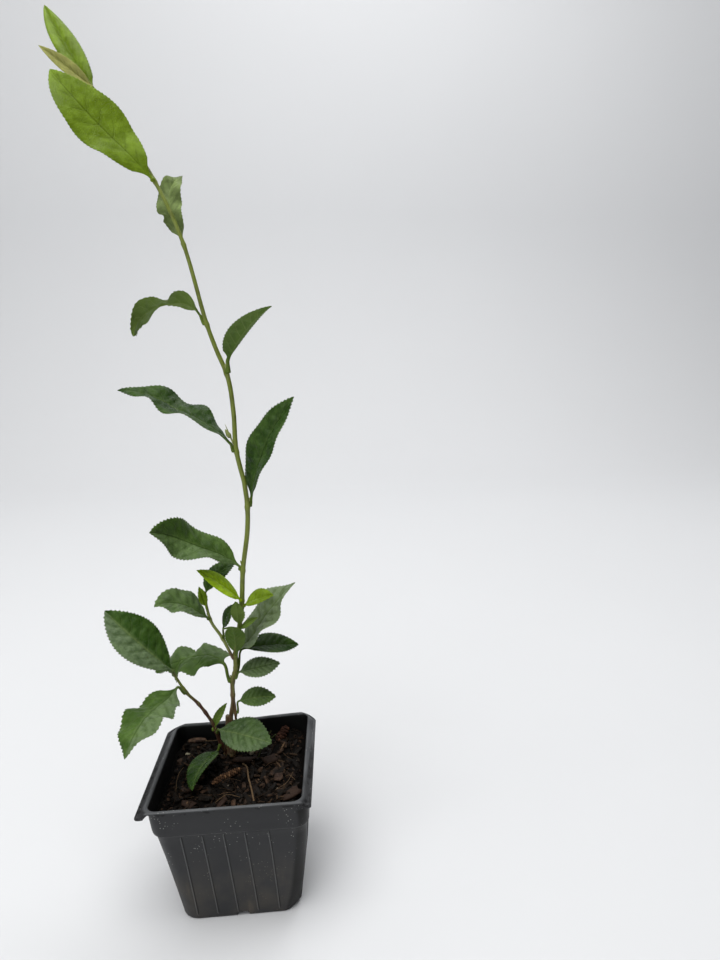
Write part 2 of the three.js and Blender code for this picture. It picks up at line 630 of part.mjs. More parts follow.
const stems = {
  trunk: new Stem(TRUNK_PATH, TRUNK_RADII),
  trunk_strand: new Stem(STRAND_PATH, STRAND_RADII),
  leader_lower: new Stem(LEADER_LOWER_PATH, LEADER_LOWER_RADII),
  leader_upper: new Stem(LEADER_UPPER_PATH, LEADER_UPPER_RADII),
  left_shoot: new Stem(LEFT_SHOOT_PATH, LEFT_SHOOT_RADII),
  low_twig: new Stem(LOW_TWIG_PATH, LOW_TWIG_RADII),
};

function trunkGeometry() {
  return fuse([
    stemGeometry(stems.trunk, { flatFoot: true, flare: ROOT_FLARE }),
    stemGeometry(new Stem(STUB_PATH, STUB_RADII)),
    stemGeometry(stems.trunk_strand),
  ]);
}

function addMesh(parent, name, geometry, tone, roughness = 0.7) {
  const mesh = new THREE.Mesh(geometry, new THREE.MeshStandardMaterial({ color: COLOURS[tone], roughness }));
  mesh.name = name;
  geometry.computeVertexNormals();
  parent.add(mesh);
}

const group = new THREE.Group();

const potted = new THREE.Group();
addMesh(potted, 'pot', potGeometry(), 'pot', 0.6);
addMesh(potted, 'potting_mix', soilGeometry(), 'soil', 0.95);
group.add(potted);

const limbs = new THREE.Group();
addMesh(limbs, 'trunk', trunkGeometry(), 'bark');
addMesh(limbs, 'leader_lower', stemGeometry(stems.leader_lower), 'greenStem');
addMesh(limbs, 'leader_upper', stemGeometry(stems.leader_upper), 'greenStem');
addMesh(limbs, 'left_shoot', stemGeometry(stems.left_shoot), 'greenStem');
addMesh(limbs, 'low_twig', stemGeometry(stems.low_twig), 'twig');
group.add(limbs);

const foliage = new THREE.Group();
const random = randomNumbers(7);
LEAVES.forEach((leaf) => addMesh(foliage, leaf.name, singleLeaf(leaf), leaf.tone ?? 'leaf', 0.5));
SPRAYS.forEach((spray) => {
  addMesh(foliage, spray.name, sprayGeometry(spray, random), spray.tone ?? 'leaf', 0.5);
});
group.add(foliage);

export default group;
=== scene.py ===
"""A young tea plant in its square nursery pot. The pot stands on z = 0, its front faces -Y, and +Z is up."""

import json
import math

import bpy
import numpy as np
from bpy.props import FloatProperty, FloatVectorProperty, IntProperty, PointerProperty
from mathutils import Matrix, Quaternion, Vector, noise

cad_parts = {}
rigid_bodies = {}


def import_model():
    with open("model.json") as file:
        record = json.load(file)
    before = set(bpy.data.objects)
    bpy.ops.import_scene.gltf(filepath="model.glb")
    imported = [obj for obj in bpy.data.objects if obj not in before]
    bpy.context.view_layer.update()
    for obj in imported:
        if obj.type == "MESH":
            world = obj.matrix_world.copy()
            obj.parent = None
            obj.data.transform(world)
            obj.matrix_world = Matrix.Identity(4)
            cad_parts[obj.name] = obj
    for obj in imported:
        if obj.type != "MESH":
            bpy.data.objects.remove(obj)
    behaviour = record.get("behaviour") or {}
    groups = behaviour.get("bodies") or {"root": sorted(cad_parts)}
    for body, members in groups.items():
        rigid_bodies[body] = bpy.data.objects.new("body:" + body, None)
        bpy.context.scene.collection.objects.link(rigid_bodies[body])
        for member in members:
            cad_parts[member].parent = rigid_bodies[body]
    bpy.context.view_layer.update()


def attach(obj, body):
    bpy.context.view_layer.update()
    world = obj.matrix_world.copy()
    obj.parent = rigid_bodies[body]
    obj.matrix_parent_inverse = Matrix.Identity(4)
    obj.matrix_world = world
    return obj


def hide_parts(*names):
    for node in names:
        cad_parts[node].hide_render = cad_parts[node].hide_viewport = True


bl_info = {
    "name": "Potted Tea Plant",
    "version": (1, 0, 0),
    "blender": (4, 5, 0),
    "location": "View3D > Sidebar > Tea Plant",
    "description": "Builds a young tea plant in a nursery pot",
    "category": "Object",
}

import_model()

# Places and sizes below are in millimetres, and a petiole starts a little clear of its stem's surface
MM = 0.001
SEAT = 0.3

# Pot: outside half widths of the thin moulded wall, and heights
POT_HEIGHT = 78
BASE_HALF = 30.4
BASE_CORNER = 9
BODY_TOP_HALF = 38.6
BODY_CORNER = 7.5
BODY_TOP = 63.5
STEP_BOTTOM = 60.4
BAND_HALF = 39.4
BAND_BOTTOM = 62.3
RIM_HALF = 40
RIM_CORNER = 6
WALL = 1.2
FLOOR = 1.5
FLANGE_WIDTH = 5
FLANGE_RIGHT = 0.68
FLANGE_CHAMFER = 9
FLANGE_END = 1.5
RIM_SKEW = 7
# The upright ribs: how many to a side, their pitch, their shift sideways, where they start and end, the steps
# and sides of their mesh, the taper at each end and the share of the width left there, and the share of the
# bulge that they follow at the foot and the height from which they follow it in full
RIB_COUNT = 5
RIB_PITCH = 11
RIB_OFFSET = -2.1
RIB_FOOT = 2.5
RIB_TOP = 60.8
RIB_DIVISIONS = 40
RIB_SIDES = 12
RIB_TAPER = 1.5
RIB_END = 0.35
RIB_BULGE_FOOT = 0.45
RIB_BULGE_TOP = 45
# The drain holes through the floor and the notches under its sides
DRAIN_RADIUS = 3.5
DRAIN_OFFSET = 19
NOTCH_WIDTH = 7
NOTCH_HEIGHT = 3
NOTCH_DEPTH = 6
# The slanted facet at the foot's front right corner: how far out it lies on the diagonal at the foot, and how
# much farther out with each millimetre of height
DENT_REACH = 37.6
DENT_SLOPE = 0.5
# How much the band's half width grows with height
BAND_SLOPE = 0.035
# Height, half width and corner radius of the underside and the foot's rounding, from the middle outwards
POT_FOOT = [(0.35, 12, 5), (0.35, 24, 8), (0.3, 26.5, 8.2), (0, 27.4, 8.4), (0, 29.4, 8.2), (0.15, 30.0, 8.7),
            (0.6, 30.35, 9)]
# Height and half width of the step up to the band
POT_STEP = [(60.9, 38.5), (61.2, 38.85), (61.7, 39.25), (62.2, 39.38)]
# How far the soft wall bulges out at some heights on the right and on the left, and between which places
# across the pot the bulge grows from nothing to full
BULGE = [(0, 1.5), (13, 2.8), (45, 3.8), (70, 3.4), (76, 1.6), (78, 1.6)]
BULGE_GROWS = (8, 36)
LEFT_BULGE = [(0, 2.6), (15, 1.8), (45, 0.4), (60, 0)]
LEFT_BULGE_GROWS = (-8, -28)
# The lift of the rim's back right corner, and the places along both sides between which it grows
CORNER_LIFT = 3.5
LIFT_GROWS = (-25, 42)
# Where a side of the pot's outline is divided, closer at its ends
SIDE_SHARES = [0.012, 0.034, 0.042, 0.05, 0.08, 0.15, 0.25, 0.37, 0.5,
               0.63, 0.75, 0.85, 0.92, 0.95, 0.958, 0.966, 0.988]
# Heights of the rings up the band outside and down it inside
BAND_OUTSIDE = (64, 67, 70, 72.5, 74.4, 75.6)
BAND_INSIDE = (76.5, 73, 69, 65.2)
# The rim's section: how far out and how high on its flange, and the same on the thin bead at its front
RIM_SECTION = [
    (0.35, 76.0, 0.05, 76.45), (1.2, 75.8, 0.3, 76.6), (2.6, 75.15, 0.6, 76.7), (4.0, 74.45, 0.8, 76.85),
    (4.6, 74.1, 0.9, 77.0), (4.9, 74.2, 0.93, 77.15), (5.0, 74.6, 0.95, 77.3), (4.95, 75.1, 0.9, 77.45),
    (4.75, 75.55, 0.85, 77.55), (4.45, 75.8, 0.78, 77.65), (4.1, 75.75, 0.7, 77.7), (3.6, 75.4, 0.6, 77.76),
    (3.1, 75.45, 0.5, 77.82), (2.2, 76.25, 0.35, 77.88), (1.3, 77.1, 0.2, 77.93), (0.6, 77.7, 0.05, 77.97),
    (0.1, 77.95, -0.1, 77.99), (-0.3, 78.0, -0.3, 78.0),
]
# The angle above which the shell's edges are sharp, in degrees
SHARP_EDGE = 38

# The mix: its level, the height of its lumps and of their roughness, the flat patch round the plant's foot,
# how far it sinks at the wall, how far it is banked up at the back right, its clearance from the wall, its
# rings, and how far its outline is pushed askew and bulges at its level
SOIL_LEVEL = 69.5
SOIL_LUMP = 0.9
SOIL_ROUGH = 1.4
SOIL_FLAT = 7
SOIL_SINK = 3.2
SOIL_BANK = 2.6
SOIL_CLEAR = 0.3
SOIL_RINGS = 60
SOIL_SKEW = 6.2
SOIL_BULGE = 1.2
# How many shapes each scattered layer picks from, and what is said of how it is spread: the smallest and
# largest size, the tilt in radians, and in metres the lift, the clearance round the trunk and the reach
# from the middle. The seeds draw each bit's turn, size and shape
BIT_SHAPES = 5
BIT_SEEDS = 11.0, 23.0, 37.0
SPREAD = ("smallest", "largest", "tilt", "lift", "clear", "reach")

# Stems: bends from foot to tip, and radii at those bends
STEMS = {
    "trunk": ([[-6, 19, 69.8], [-6, 19, 79.5], [-5, 19, 95.5], [-3.5, 18.5, 103.5], [-3, 18.5, 118],
               [-1, 18, 125.5], [-1, 18, 132.7]],
              [1.9, 1.7, 1.25, 1.3, 1.2, 1.15, 1.15]),
    "trunk_stub": ([[-7, 19.3, 72], [-7.3, 19.4, 83], [-7.1, 19.4, 95]], [1.9, 1.6, 1.3]),
    "trunk_strand": ([[-4.8, 18.9, 75], [-3, 18.6, 84], [-2.3, 18.5, 95.5], [-2.6, 18.5, 102.5],
                      [-3.1, 18.5, 108]],
                     [0.9, 0.8, 0.75, 0.75, 0.5]),
    "leader_lower": ([[-1, 18, 133.2], [1.5, 17, 146], [4.5, 16, 167], [6, 15.5, 186.5], [9.5, 15, 210],
                      [10, 15, 224], [9, 15, 236]],
                     [1.15, 1.2, 1.2, 1.15, 1.15, 1.15, 1.1]),
    "leader_upper": ([[8.95, 15, 236.4], [5.5, 15, 254.5], [5, 15.5, 274.5], [3, 16, 292],
                      [-2.5, 17, 307], [-6.5, 17.5, 319.5], [-16.5, 20, 360], [-29.3, 23.5, 389.3],
                      [-56.1, 33, 430.8]],
                     [1.1, 1.1, 1.05, 1.05, 1, 0.95, 0.85, 0.8, 0.6]),
    "left_shoot": ([[-2.8, 17.3, 134.6], [-7.5, 17, 146], [-13, 17, 156], [-15, 17, 165.5],
                    [-15.2, 17, 169.5]],
                   [0.8, 0.8, 0.75, 0.7, 0.6]),
    "low_twig": ([[-9.4, 17.1, 73.5], [-12, 15.5, 80.5], [-15, 14.5, 92.5], [-22.5, 13.5, 107],
                  [-28.5, 12.5, 115], [-36, 10.5, 131.5]],
                 [1.1, 1, 0.95, 0.85, 0.8, 0.65]),
}
# How far each stem's foot is sunk into what carries it, and how much plumper it is than its solid
STEM_SINK = {"trunk": 1.2, "trunk_stub": 2.5, "trunk_strand": 3, "leader_lower": 0.9, "leader_upper": 0.9,
             "left_shoot": 2.5, "low_twig": 4}
STEM_GIRTH = {"leader_lower": 1.14, "leader_upper": 1.14, "left_shoot": 1.12, "low_twig": 1.05}
SPRAY_SINK = 1.2
ROOT_FLARE = 1.1
ROOT_FLARE_HEIGHT = 4
# A stem's swollen joints: how far they stand out, their half height and how far they lie below the petiole
JOINT_SWELL = 0.28
JOINT_HALF = 1.3
JOINT_DROP = 0.8
# Points of a stem's skin lie about this far apart
STEM_STEP = 0.8
# The fused trunk's mesh size, and its furrows' depth and grain along each axis
BARK_VOXEL = 0.2
FURROW_DEPTH = 0.16
FURROW_GRAIN = (0.9, 0.9, 0.16)
# Heights of the scars of fallen leaves
SCARS = {"low_twig": [101, 107, 118], "trunk": [86, 109]}
# Buds in the axils: stem, height, bearing, rise, length, width and how far they stand off
BUDS = [
    ("leader_upper", 256, 178, 70, 13.5, 0.9, 0), ("leader_upper", 261, 182, 62, 5.2, 2.6, 1.9),
    ("leader_upper", 320, 165, 70, 3.6, 1.4, 0), ("leader_upper", 297, 330, 62, 3.4, 2.0, 0),
    ("leader_upper", 296, 300, 68, 4.2, 1.4, 0), ("leader_upper", 360, 115, 68, 2.8, 1.2, 0),
    ("leader_upper", 390.5, 240, 62, 2.8, 1.2, 0), ("leader_lower", 190, 185, 66, 2.6, 1.2, 0),
    ("leader_lower", 225.5, 15, 66, 3, 1.4, 0),
    ("trunk", 119.5, 172, 60, 2.2, 1.2, 0), ("trunk", 122, 350, 60, 2.4, 1.4, 0),
    ("left_shoot", 160, 200, 60, 2.0, 1.0, 0), ("low_twig", 116.5, 200, 50, 4.2, 3.0, 0),
    ("low_twig", 95, 40, 60, 1.6, 0.9, 0), ("low_twig", 90, 300, 60, 1.8, 1.1, 0),
]
# How far a bud's foot is sunk, and the share of its length that its outer scales cover
BUD_SINK = 0.8
BUD_SCALES = 0.45

# Leaves. node is the height at which the petiole leaves its stem (at the stem's tip where it is left out).
# Bearings are seen from above: 0 to the right, 90 to the back, 180 to the left, 270 to the front.
# seat is the side of the stem that the petiole stands on, where it isn't the blade's own bearing.
# droop bends the blade down, swing to its left and twist turns it, over its length or over each third of it.
# bites are cuts in the margin: side (1 left, -1 right), place along the blade, half length, depth.
# A pair for the blade's right and left half gives how much grey painted sheen lies on each, a painted
# reflection of the light above.
LEAVES = [
    dict(name="leaf_trunk_right_1", stem="trunk_strand", node=97, petiole=7.5, petiole_rise=80,
         bearing=4, rise=12, length=21.5, width=15, droop=20, swing=-4, roll=10, twist=20, fold=12,
         look="mid_ribbed", rumple=0.5, bloom=(0.14, 0.14)),
    dict(name="leaf_trunk_right_2", stem="trunk", node=120, petiole=4.5, petiole_rise=60, seat=350,
         bearing=8, rise=11, length=24, width=14, droop=13, roll=20, twist=15, fold=5, look="mid", rumple=0.5,
         bloom=(0.5, 0.5)),
    dict(name="leaf_trunk_right_3", stem="trunk", node=123.5, petiole=14, petiole_rise=70, seat=30,
         bearing=20, rise=0, length=34, width=18, droop=14, swing=-5, roll=5, twist=25, fold=15,
         look="dark", rumple=0.6, bites=[(1, 0.3, 0.03, 0.14)]),
    dict(name="leaf_trunk_right_4", stem="trunk", node=127, petiole=10, petiole_rise=76, seat=60,
         bearing=358, rise=24, length=51, width=28, belly=0.46, droop=[-29, 5, 0],
         swing=[22, -11, -10], roll=15, twist=[-1, 11, -32], fold=14, wave=1.8, waves=2.2,
         phase=[-97, 183], look="light_dark_rib", bloom=(0.75, 0.8)),
    dict(name="leaf_trunk_left", stem="trunk", node=117.5, petiole=11, petiole_rise=75, seat=170,
         bearing=154, rise=50, length=49, width=27, droop=[55, 15, -3], swing=[32, -4, 15], roll=-34,
         twist=[26, -18, -35], fold=-6, wave=3.6, waves=3, phase=[275, 64], look="mid", bloom=(0.2, 0.08),
         bites=[(-1, 0.52, 0.035, 0.2), (1, 0.84, 0.13, 0.42)], petiole_girth=1.5, lobe=(-1, 6)),
    dict(name="leaf_shoot_left", stem="left_shoot", node=158.5, petiole=0.7, petiole_rise=50, seat=235,
         bearing=185, rise=39, length=32, width=22.5, belly=0.5, droop=[3, 18, 15], swing=[0, 8, 35],
         roll=-23, twist=[18, -18, 18], fold=18, wave=1.3, waves=2.2, phase=[17, 166], look="mid",
         bloom=(0.2, 0.3)),
    dict(name="leaf_shoot_right", stem="left_shoot", node=146, petiole=6.2, petiole_rise=85, seat=320,
         bearing=7, rise=71, length=14.5, width=10.5, droop=8, roll=13, twist=8, fold=9, look="dark"),
    dict(name="leaf_young_right", stem="leader_lower", node=165.5, petiole=1.2, petiole_rise=50,
         bearing=339, rise=40, length=18.5, width=13, droop=30, swing=-10, roll=20, twist=10, fold=15,
         look="lime_deep", teeth=0.5, quilt=0.5),
    dict(name="leaf_young_left", stem="leader_lower", node=169, petiole=0.6, petiole_rise=60, seat=245,
         bearing=196, rise=51, length=31.5, width=13, droop=12, swing=10, roll=-21, twist=-14, fold=8,
         look="lime", teeth=0.4, quilt=0.5, rumple=0.4),
    dict(name="leaf_leader_1", stem="leader_lower", node=187, petiole=1.6, petiole_rise=80,
         bearing=173, rise=45, length=58, width=24.5, belly=0.52, droop=[15, -16, -22],
         swing=[18, 10, 27], roll=-17, twist=[0, -20, 3], fold=14, wave=3, waves=1.7,
         phase=[-132, -34], look="mid", bloom=(0.05, 0.22)),
    dict(name="leaf_leader_2", stem="leader_lower", node=223.5, petiole=4, petiole_rise=78,
         bearing=16, rise=80, length=60, width=25, droop=22, swing=-16, roll=6, twist=20, fold=20,
         look="dark", rumple=1.6, wave=0.8, waves=2.6, phase=[30, 200], bloom=(0.04, 0.04)),
    dict(name="leaf_leader_3", stem="leader_upper", node=254, petiole=4, petiole_rise=70,
         bearing=181, rise=54, length=68, width=24, droop=[30, -3, 12], swing=[-21, 2, 28], roll=3,
         twist=[-20, -5, -16], fold=16, wave=2.4, waves=2.7, phase=[103, 120], look="ribbed", rumple=1.3),
    dict(name="leaf_leader_4", stem="leader_upper", node=295, petiole=6, petiole_rise=85,
         bearing=322, rise=60, length=39, width=20, droop=30, swing=4, roll=4, twist=-4, fold=20,
         look="mid", rumple=1.2, petiole_girth=1.7),
    dict(name="leaf_leader_5", stem="leader_upper", node=319.5, petiole=4.5, petiole_rise=65,
         bearing=160, rise=72, length=46.5, width=24, droop=[78, 35, 38], swing=[2, 22, -17], roll=16,
         twist=[26, -8, 80], fold=8, wave=4, waves=1.9, phase=[-34, 189], look="light_dark_rib",
         rumple=1.3),
    dict(name="leaf_leader_6", stem="leader_upper", node=358, petiole=2.5, petiole_rise=60, seat=105,
         bearing=127, rise=51, length=45, width=12.5, droop=[-19, 34, 23], swing=[-4, -27, -14],
         roll=-32, twist=[-15, 21, -15], fold=15, wave=3, waves=2.4, phase=[155, 264], look="pale",
         slot="pale_leaf", bites=[(1, 0.3, 0.03, 0.3)], rumple=0.4, quilt=0.4, teeth=0.4),
    dict(name="leaf_leader_7", stem="leader_upper", node=387.5, petiole=1, petiole_rise=35, seat=245,
         bearing=195, rise=49, length=64, width=27, belly=0.52, droop=[16, -14, 22],
         swing=[2, 4, -16], roll=-94, twist=[30, -6, -12], fold=9, wave=1.3, waves=1.8,
         phase=[-46, 120], look="lime_deep", rumple=0.3, quilt=0.45, teeth=0.5),
    dict(name="leaf_twig_tip", stem="low_twig", node=130.5, petiole=0.8, petiole_rise=20, seat=300,
         bearing=181, rise=46, length=50.5, width=27.5, belly=0.5, droop=11, swing=-14, roll=-21,
         twist=-30, fold=13, look="ribbed", bloom=(0, 0.46)),
    dict(name="leaf_twig_hanging", stem="low_twig", node=116.2, petiole=9, petiole_rise=45,
         bearing=240, rise=-18, length=55, width=27, belly=0.48, droop=[-19, 6, 35],
         swing=[-5, 13, -14], roll=-33, twist=[37, 4, 20], fold=4, wave=2.4, waves=3.2,
         phase=[132, 252], look="mid", bites=[(1, 0.55, 0.04, 0.18)], bloom=(0.05, 0.42)),
    dict(name="leaf_twig_small", stem="low_twig", node=89.5, petiole=1.2, petiole_rise=80, seat=205,
         bearing=38, rise=60, length=16, width=6.5, droop=20, roll=3, fold=12, look="light",
         slot="pale_leaf"),
    dict(name="leaf_twig_front", stem="low_twig", node=88, petiole=3.5, petiole_rise=50, seat=300,
         bearing=333, rise=3, length=33, width=24, belly=0.5, droop=19, swing=3, roll=24, fold=5,
         look="ribbed", rumple=0.8, bloom=(0.3, 0.2), bites=[(-1, 0.5, 0.34, 0.14)]),
    dict(name="leaf_twig_low", stem="low_twig", node=79, petiole=3.5, petiole_rise=-40,
         bearing=239, rise=12, length=36, width=16, droop=30, swing=17, roll=7, twist=30, fold=19,
         look="ribbed", rumple=0.3, quilt=0.5),
]

# Small shoots: a short stem of their own with the leaves that share it
SPRAYS = [
    dict(name="spray_fork", stem="leader_lower", node=136, petiole=5.5, petiole_rise=50, seat=262,
         reach=16, lean=85, radius=0.6, aside=4.5, leaves=[
             dict(at=0.1, shift=[1, 0, -2], bearing=270, rise=75, length=29, width=12, droop=33, fold=20,
                  look="mid_ribbed"),
             dict(at=0.95, bearing=250, rise=80, length=16, width=8, droop=9, roll=8, fold=8, look="light"),
             dict(at=0.9, bearing=190, rise=8, length=8, width=3, droop=10, fold=10, look="light"),
             dict(at=0.85, bearing=338, rise=40, length=13, width=6, droop=10, roll=28, fold=8,
                  look="light"),
         ]),
    dict(name="spray_shoot", stem="left_shoot", petiole=1.5, petiole_rise=80,
         reach=3, lean=80, radius=0.55, leaves=[
             dict(at=0.6, bearing=50, rise=51, length=27, width=13, droop=44, swing=-8, roll=3, twist=12,
                  fold=18, look="dark"),
             dict(at=0, shift=[0.2, -0.9, -5], bearing=188, rise=74, length=12.5, width=5.5, droop=-7,
                  roll=-65, fold=10, look="lime_deep"),
         ]),
    dict(name="spray_top", stem="leader_upper", petiole=1.5, petiole_rise=60,
         reach=4, lean=55, radius=0.6, slot="young_leaf", leaves=[
             dict(at=0.1, shift=[2, -1, -3.4], petiole=0.4, bearing=152, rise=53, length=56, width=15,
                  droop=12, swing=-13, roll=-33, twist=-10, fold=36, curl=0.4, look="lime_deep",
                  rumple=0.3, quilt=0.4, teeth=0.4),
             dict(at=0.3, shift=[1.4, -0.8, -2.4], petiole=0.4, bearing=200, rise=36, length=26.5, width=8,
                  droop=4, roll=-68, fold=14, look="tip", rumple=0.3, quilt=0.3, teeth=0.3),
         ]),
]
# The sprays' chance, its seed and the degrees that it turns a leaf over, and their leaves' petioles: length,
# radius and what the radius gains with the leaf's length
SPRAY_SEED = 7
SPRAY_JITTER = 4
SPRAY_PETIOLE = 1.2
SPRAY_PETIOLE_RADIUS = 0.35
SPRAY_PETIOLE_SHARE = 0.003

# A blade's bends fall on even steps, and it grows out of the round petiole over the first share of its length
BLADE_STEPS = 12
BLADE_BLEND = 0.12
MARGIN_POWER = 0.85
# A petiole's radius, what it gains with the leaf's length, and how much plumper it is than its solid
PETIOLE_RADIUS = 0.42
PETIOLE_RADIUS_SHARE = 0.004
PETIOLE_GIRTH = 1.12

# A fine blade: rows to each tooth, and the points across it from its right margin to its left one
STEPS_PER_TOOTH = 6
RUMPLE = 0.4
MARGIN_CURL = 0.06
HALF_ACROSS = [0.05, 0.13, 0.26, 0.42, 0.6, 0.76, 0.88, 0.96, 1]
ACROSS = np.array([-v for v in reversed(HALF_ACROSS)] + [0] + HALF_ACROSS)
TOOTH_PEAK = 4 / 6
TOOTH_LEAN = 0.5
TOOTH_SHIFT = 0.15
TOOTH_UNEVEN = 0.3
# The margin has no teeth before the first pair of shares and after the second, and a slope within each
TEETH_BEGIN = (0.06, 0.22)
TEETH_END = (0.96, 1)
# Blades narrower than this have finer teeth and quilting
FULL_WIDTH = 14
TIP_HALF = 0.12
# The midrib: its half width, the share it loses towards the tip, its groove above and its keel below
MIDRIB_HALF = 0.45
MIDRIB_FADE = 0.65
MIDRIB_GROOVE = 0.35
MIDRIB_KEEL = 0.5
# A petiole: its steps, how far its foot is sunk, and how much its foot spreads over how long
PETIOLE_STEPS = 12
PETIOLE_SINK = 0.9
PETIOLE_SPREAD = 0.7
PETIOLE_SPREAD_LENGTH = 1.1
# Side veins leave the midrib forwards and bow towards the tip, and the blade rises to its full quilting over
# a share of the way from one vein to the next
VEIN_PAIRS = 8
VEIN_LEAN = 0.15
VEIN_BOW = 0.06
VEIN_HALF = 0.34

# The camera that took the photograph, and its picture's height in pixels
CAMERA_PLACE = (29.5, -375.3, 334.5)
CAMERA_FACING = (0.1058, 0.9944)
CAMERA_PITCH = 15.02
CAMERA_ROLL = -0.004
FOCAL_PIXELS = 746.2
PICTURE_HEIGHT = 960
SENSOR = 36
# How far the picture moves down, in pixels, so that the topmost leaf is whole
TOP_MARGIN = 12
# The camera's near and far limits, in metres
CLIP = (0.01, 20)

# The studio's paper: front edge, start of its curve, the curve's radius, its top and its half width
PAPER_FRONT = -2500
PAPER_CURVE = 900
PAPER_RADIUS = 500
PAPER_TOP = 2600
PAPER_HALF = 3000
PAPER_ROUGHNESS = 0.85
# The light from all round
AIR_COLOUR = (0.94, 0.97, 1.0, 1)
AIR_STRENGTH = 0.12
# Soft lights, in metres and watts: name, place, what they face, size, power and colour
PLANT_MIDDLE = (-0.01, 0.01, 0.2)
PAPER_MIDDLE = (0.75, 1.4, 1.0)
LIGHTS = [
    ("key_light", (-0.3, -0.3, 1.7), PLANT_MIDDLE, 1.3, 31, (1, 0.995, 0.985)),
    ("fill_light", (-1.0, -1.5, 0.9), PLANT_MIDDLE, 1.4, 9, (0.98, 0.99, 1)),
    ("back_light", (0.3, 0.9, 1.5), PLANT_MIDDLE, 1.0, 6, (1, 1, 1)),
    ("wall_light", (0.7, 0.5, 1.9), PAPER_MIDDLE, 0.9, 8, (1, 1, 1)),
]


def srgb(*channels):
    """A linear colour from red, green and blue as a screen shows them, 0 to 255."""
    return tuple(((c / 255 + 0.055) / 1.055) ** 2.4 if c > 10 else c / 255 / 12.92 for c in channels)


def tinted(colour, other, share):
    """A colour part of the way to another."""
    return tuple(a + (b - a) * share for a, b in zip(colour[:3], other[:3]))


def smooth(low, high, x):
    """0 below low, 1 above high and an even slope between."""
    t = np.clip((x - low) / (high - low), 0, 1)
    return t * t * (3 - 2 * t)


def unit(v):
    """Directions of length one."""
    return v / np.linalg.norm(v, axis=-1, keepdims=True)


# Tones that the finishes add to the colours of the plant and pot
BLACK = (0, 0, 0)
WHITE = (1, 1, 1)
LEAF_SHADE = (0, 0.01, 0)
# Pale streaks on stems: partly their own streaks and partly painted highlight
STREAK_HIGHLIGHT = (1, 0.92, 0.6)
FRESH_LIGHT = (1, 1, 0.6)
VEIN_PALE = srgb(136, 154, 88)
# Painted reflection: grey sheen laid on one half of some blades
SHEEN_GREY = srgb(124, 140, 108)
PETIOLE_TONE = srgb(104, 112, 44)
RUST_SPOT = srgb(84, 62, 28)
# Painted highlight that makes the pot's ribs paler
RIB_HIGHLIGHT_GREY = srgb(118, 119, 119)
LEDGE_DUST = srgb(112, 112, 110)
DRY_SPECK = srgb(168, 168, 164)
# Painted shade for the pot's right side
RIGHT_SIDE_SHADE = (0.003, 0.0028, 0.0025)
# Darker patches in a thin band just under the rim
UNDER_RIM_DARK = (0.004, 0.004, 0.004)
EDGE_SHEEN = (0.4, 0.42, 0.44)
# Painted shade for the pot's inside, where the rim keeps the light out
PAINTED_INSIDE_SHADE = (0.006, 0.006, 0.006)
# Heights on the pot between which a mark starts or ends
LEDGE_HEIGHT = 61.5
RIGHT_SHADE_ENDS = (73.5, 71)
UNDER_RIM_STARTS = (74.4, 75.4)
UNDER_RIM_ENDS = (77.2, 76.6)
EDGE_STARTS = (77.0, 77.7)


# Lines and stems

class Line:
    """A curve given by a function of t, 0 to 1, that can also be read by its share of length."""

    DIVISIONS = 200

    def __init__(self, point):
        self.point = point
        walk = np.array([point(i / self.DIVISIONS) for i in range(self.DIVISIONS + 1)])
        lengths = np.concatenate([[0], np.cumsum(np.linalg.norm(np.diff(walk, axis=0), axis=1))])
        self.length = lengths[-1]
        self.shares = lengths / self.length

    def place(self, share):
        """The t at a share of the length."""
        return float(np.interp(share, self.shares, np.linspace(0, 1, self.DIVISIONS + 1)))

    def at(self, share):
        return self.point(self.place(share))

    def tangent(self, share):
        t = self.place(share)
        return unit(self.point(min(1, t + 1e-4)) - self.point(max(0, t - 1e-4)))


def spline(path):
    """A centripetal curve through the points of a path."""
    knots = [np.array(p, float) for p in path]
    knots = [2 * knots[0] - knots[1], *knots, 2 * knots[-1] - knots[-2]]
    last = len(path) - 2

    def point(t):
        i = min(int(t * (last + 1)), last)
        w = t * (last + 1) - i
        a, b, c, d = knots[i:i + 4]
        d0, d1, d2 = (math.sqrt(np.linalg.norm(q - p)) for p, q in ((a, b), (b, c), (c, d)))
        start = ((b - a) / d0 - (c - a) / (d0 + d1) + (c - b) / d1) * d1
        end = ((c - b) / d1 - (d - b) / (d1 + d2) + (d - c) / d2) * d1
        return (b + w * start + w * w * (3 * (c - b) - 2 * start - end)
                + w ** 3 * (2 * (b - c) + start + end))
    return Line(point)


def bezier(a, b, c, d):
    """A cubic curve from a to d that leaves towards b and arrives from c."""
    def point(t):
        s = 1 - t
        return s ** 3 * a + 3 * s * s * t * b + 3 * s * t * t * c + t ** 3 * d
    return Line(point)


class Stem:
    """A stem's centre line with the radius at any height along it."""

    def __init__(self, path, radii):
        self.line = spline(path)
        self.heights = [p[2] for p in path]
        self.radii = radii

    def radius(self, z):
        return float(np.interp(z, self.heights, self.radii))

    def share_at(self, z):
        """The share of the stem's length at which it reaches a height."""
        low, high = 0.0, 1.0
        for _ in range(30):
            middle = (low + high) / 2
            if self.line.at(middle)[2] < z:
                low = middle
            else:
                high = middle
        return (low + high) / 2

    def seat(self, node, bearing):
        """Where a petiole stands, clear of the bark, and the way it leaves."""
        if node is None:
            along = self.line.tangent(1)
            return self.line.at(1) + along * SEAT, along
        share = self.share_at(node)
        along = self.line.tangent(share)
        out = compass(bearing, 0)
        out = unit(out - along * out.dot(along))
        return self.line.at(share) + out * (self.radius(node) + SEAT), out


def compass(bearing, rise):
    """A direction from a bearing and a rise in degrees."""
    b, r = math.radians(bearing), math.radians(rise)
    return np.array([math.cos(b) * math.cos(r), math.sin(b) * math.cos(r), math.sin(r)])


STEM_LINES = {name: Stem(path, radii) for name, (path, radii) in STEMS.items()}


# Meshes

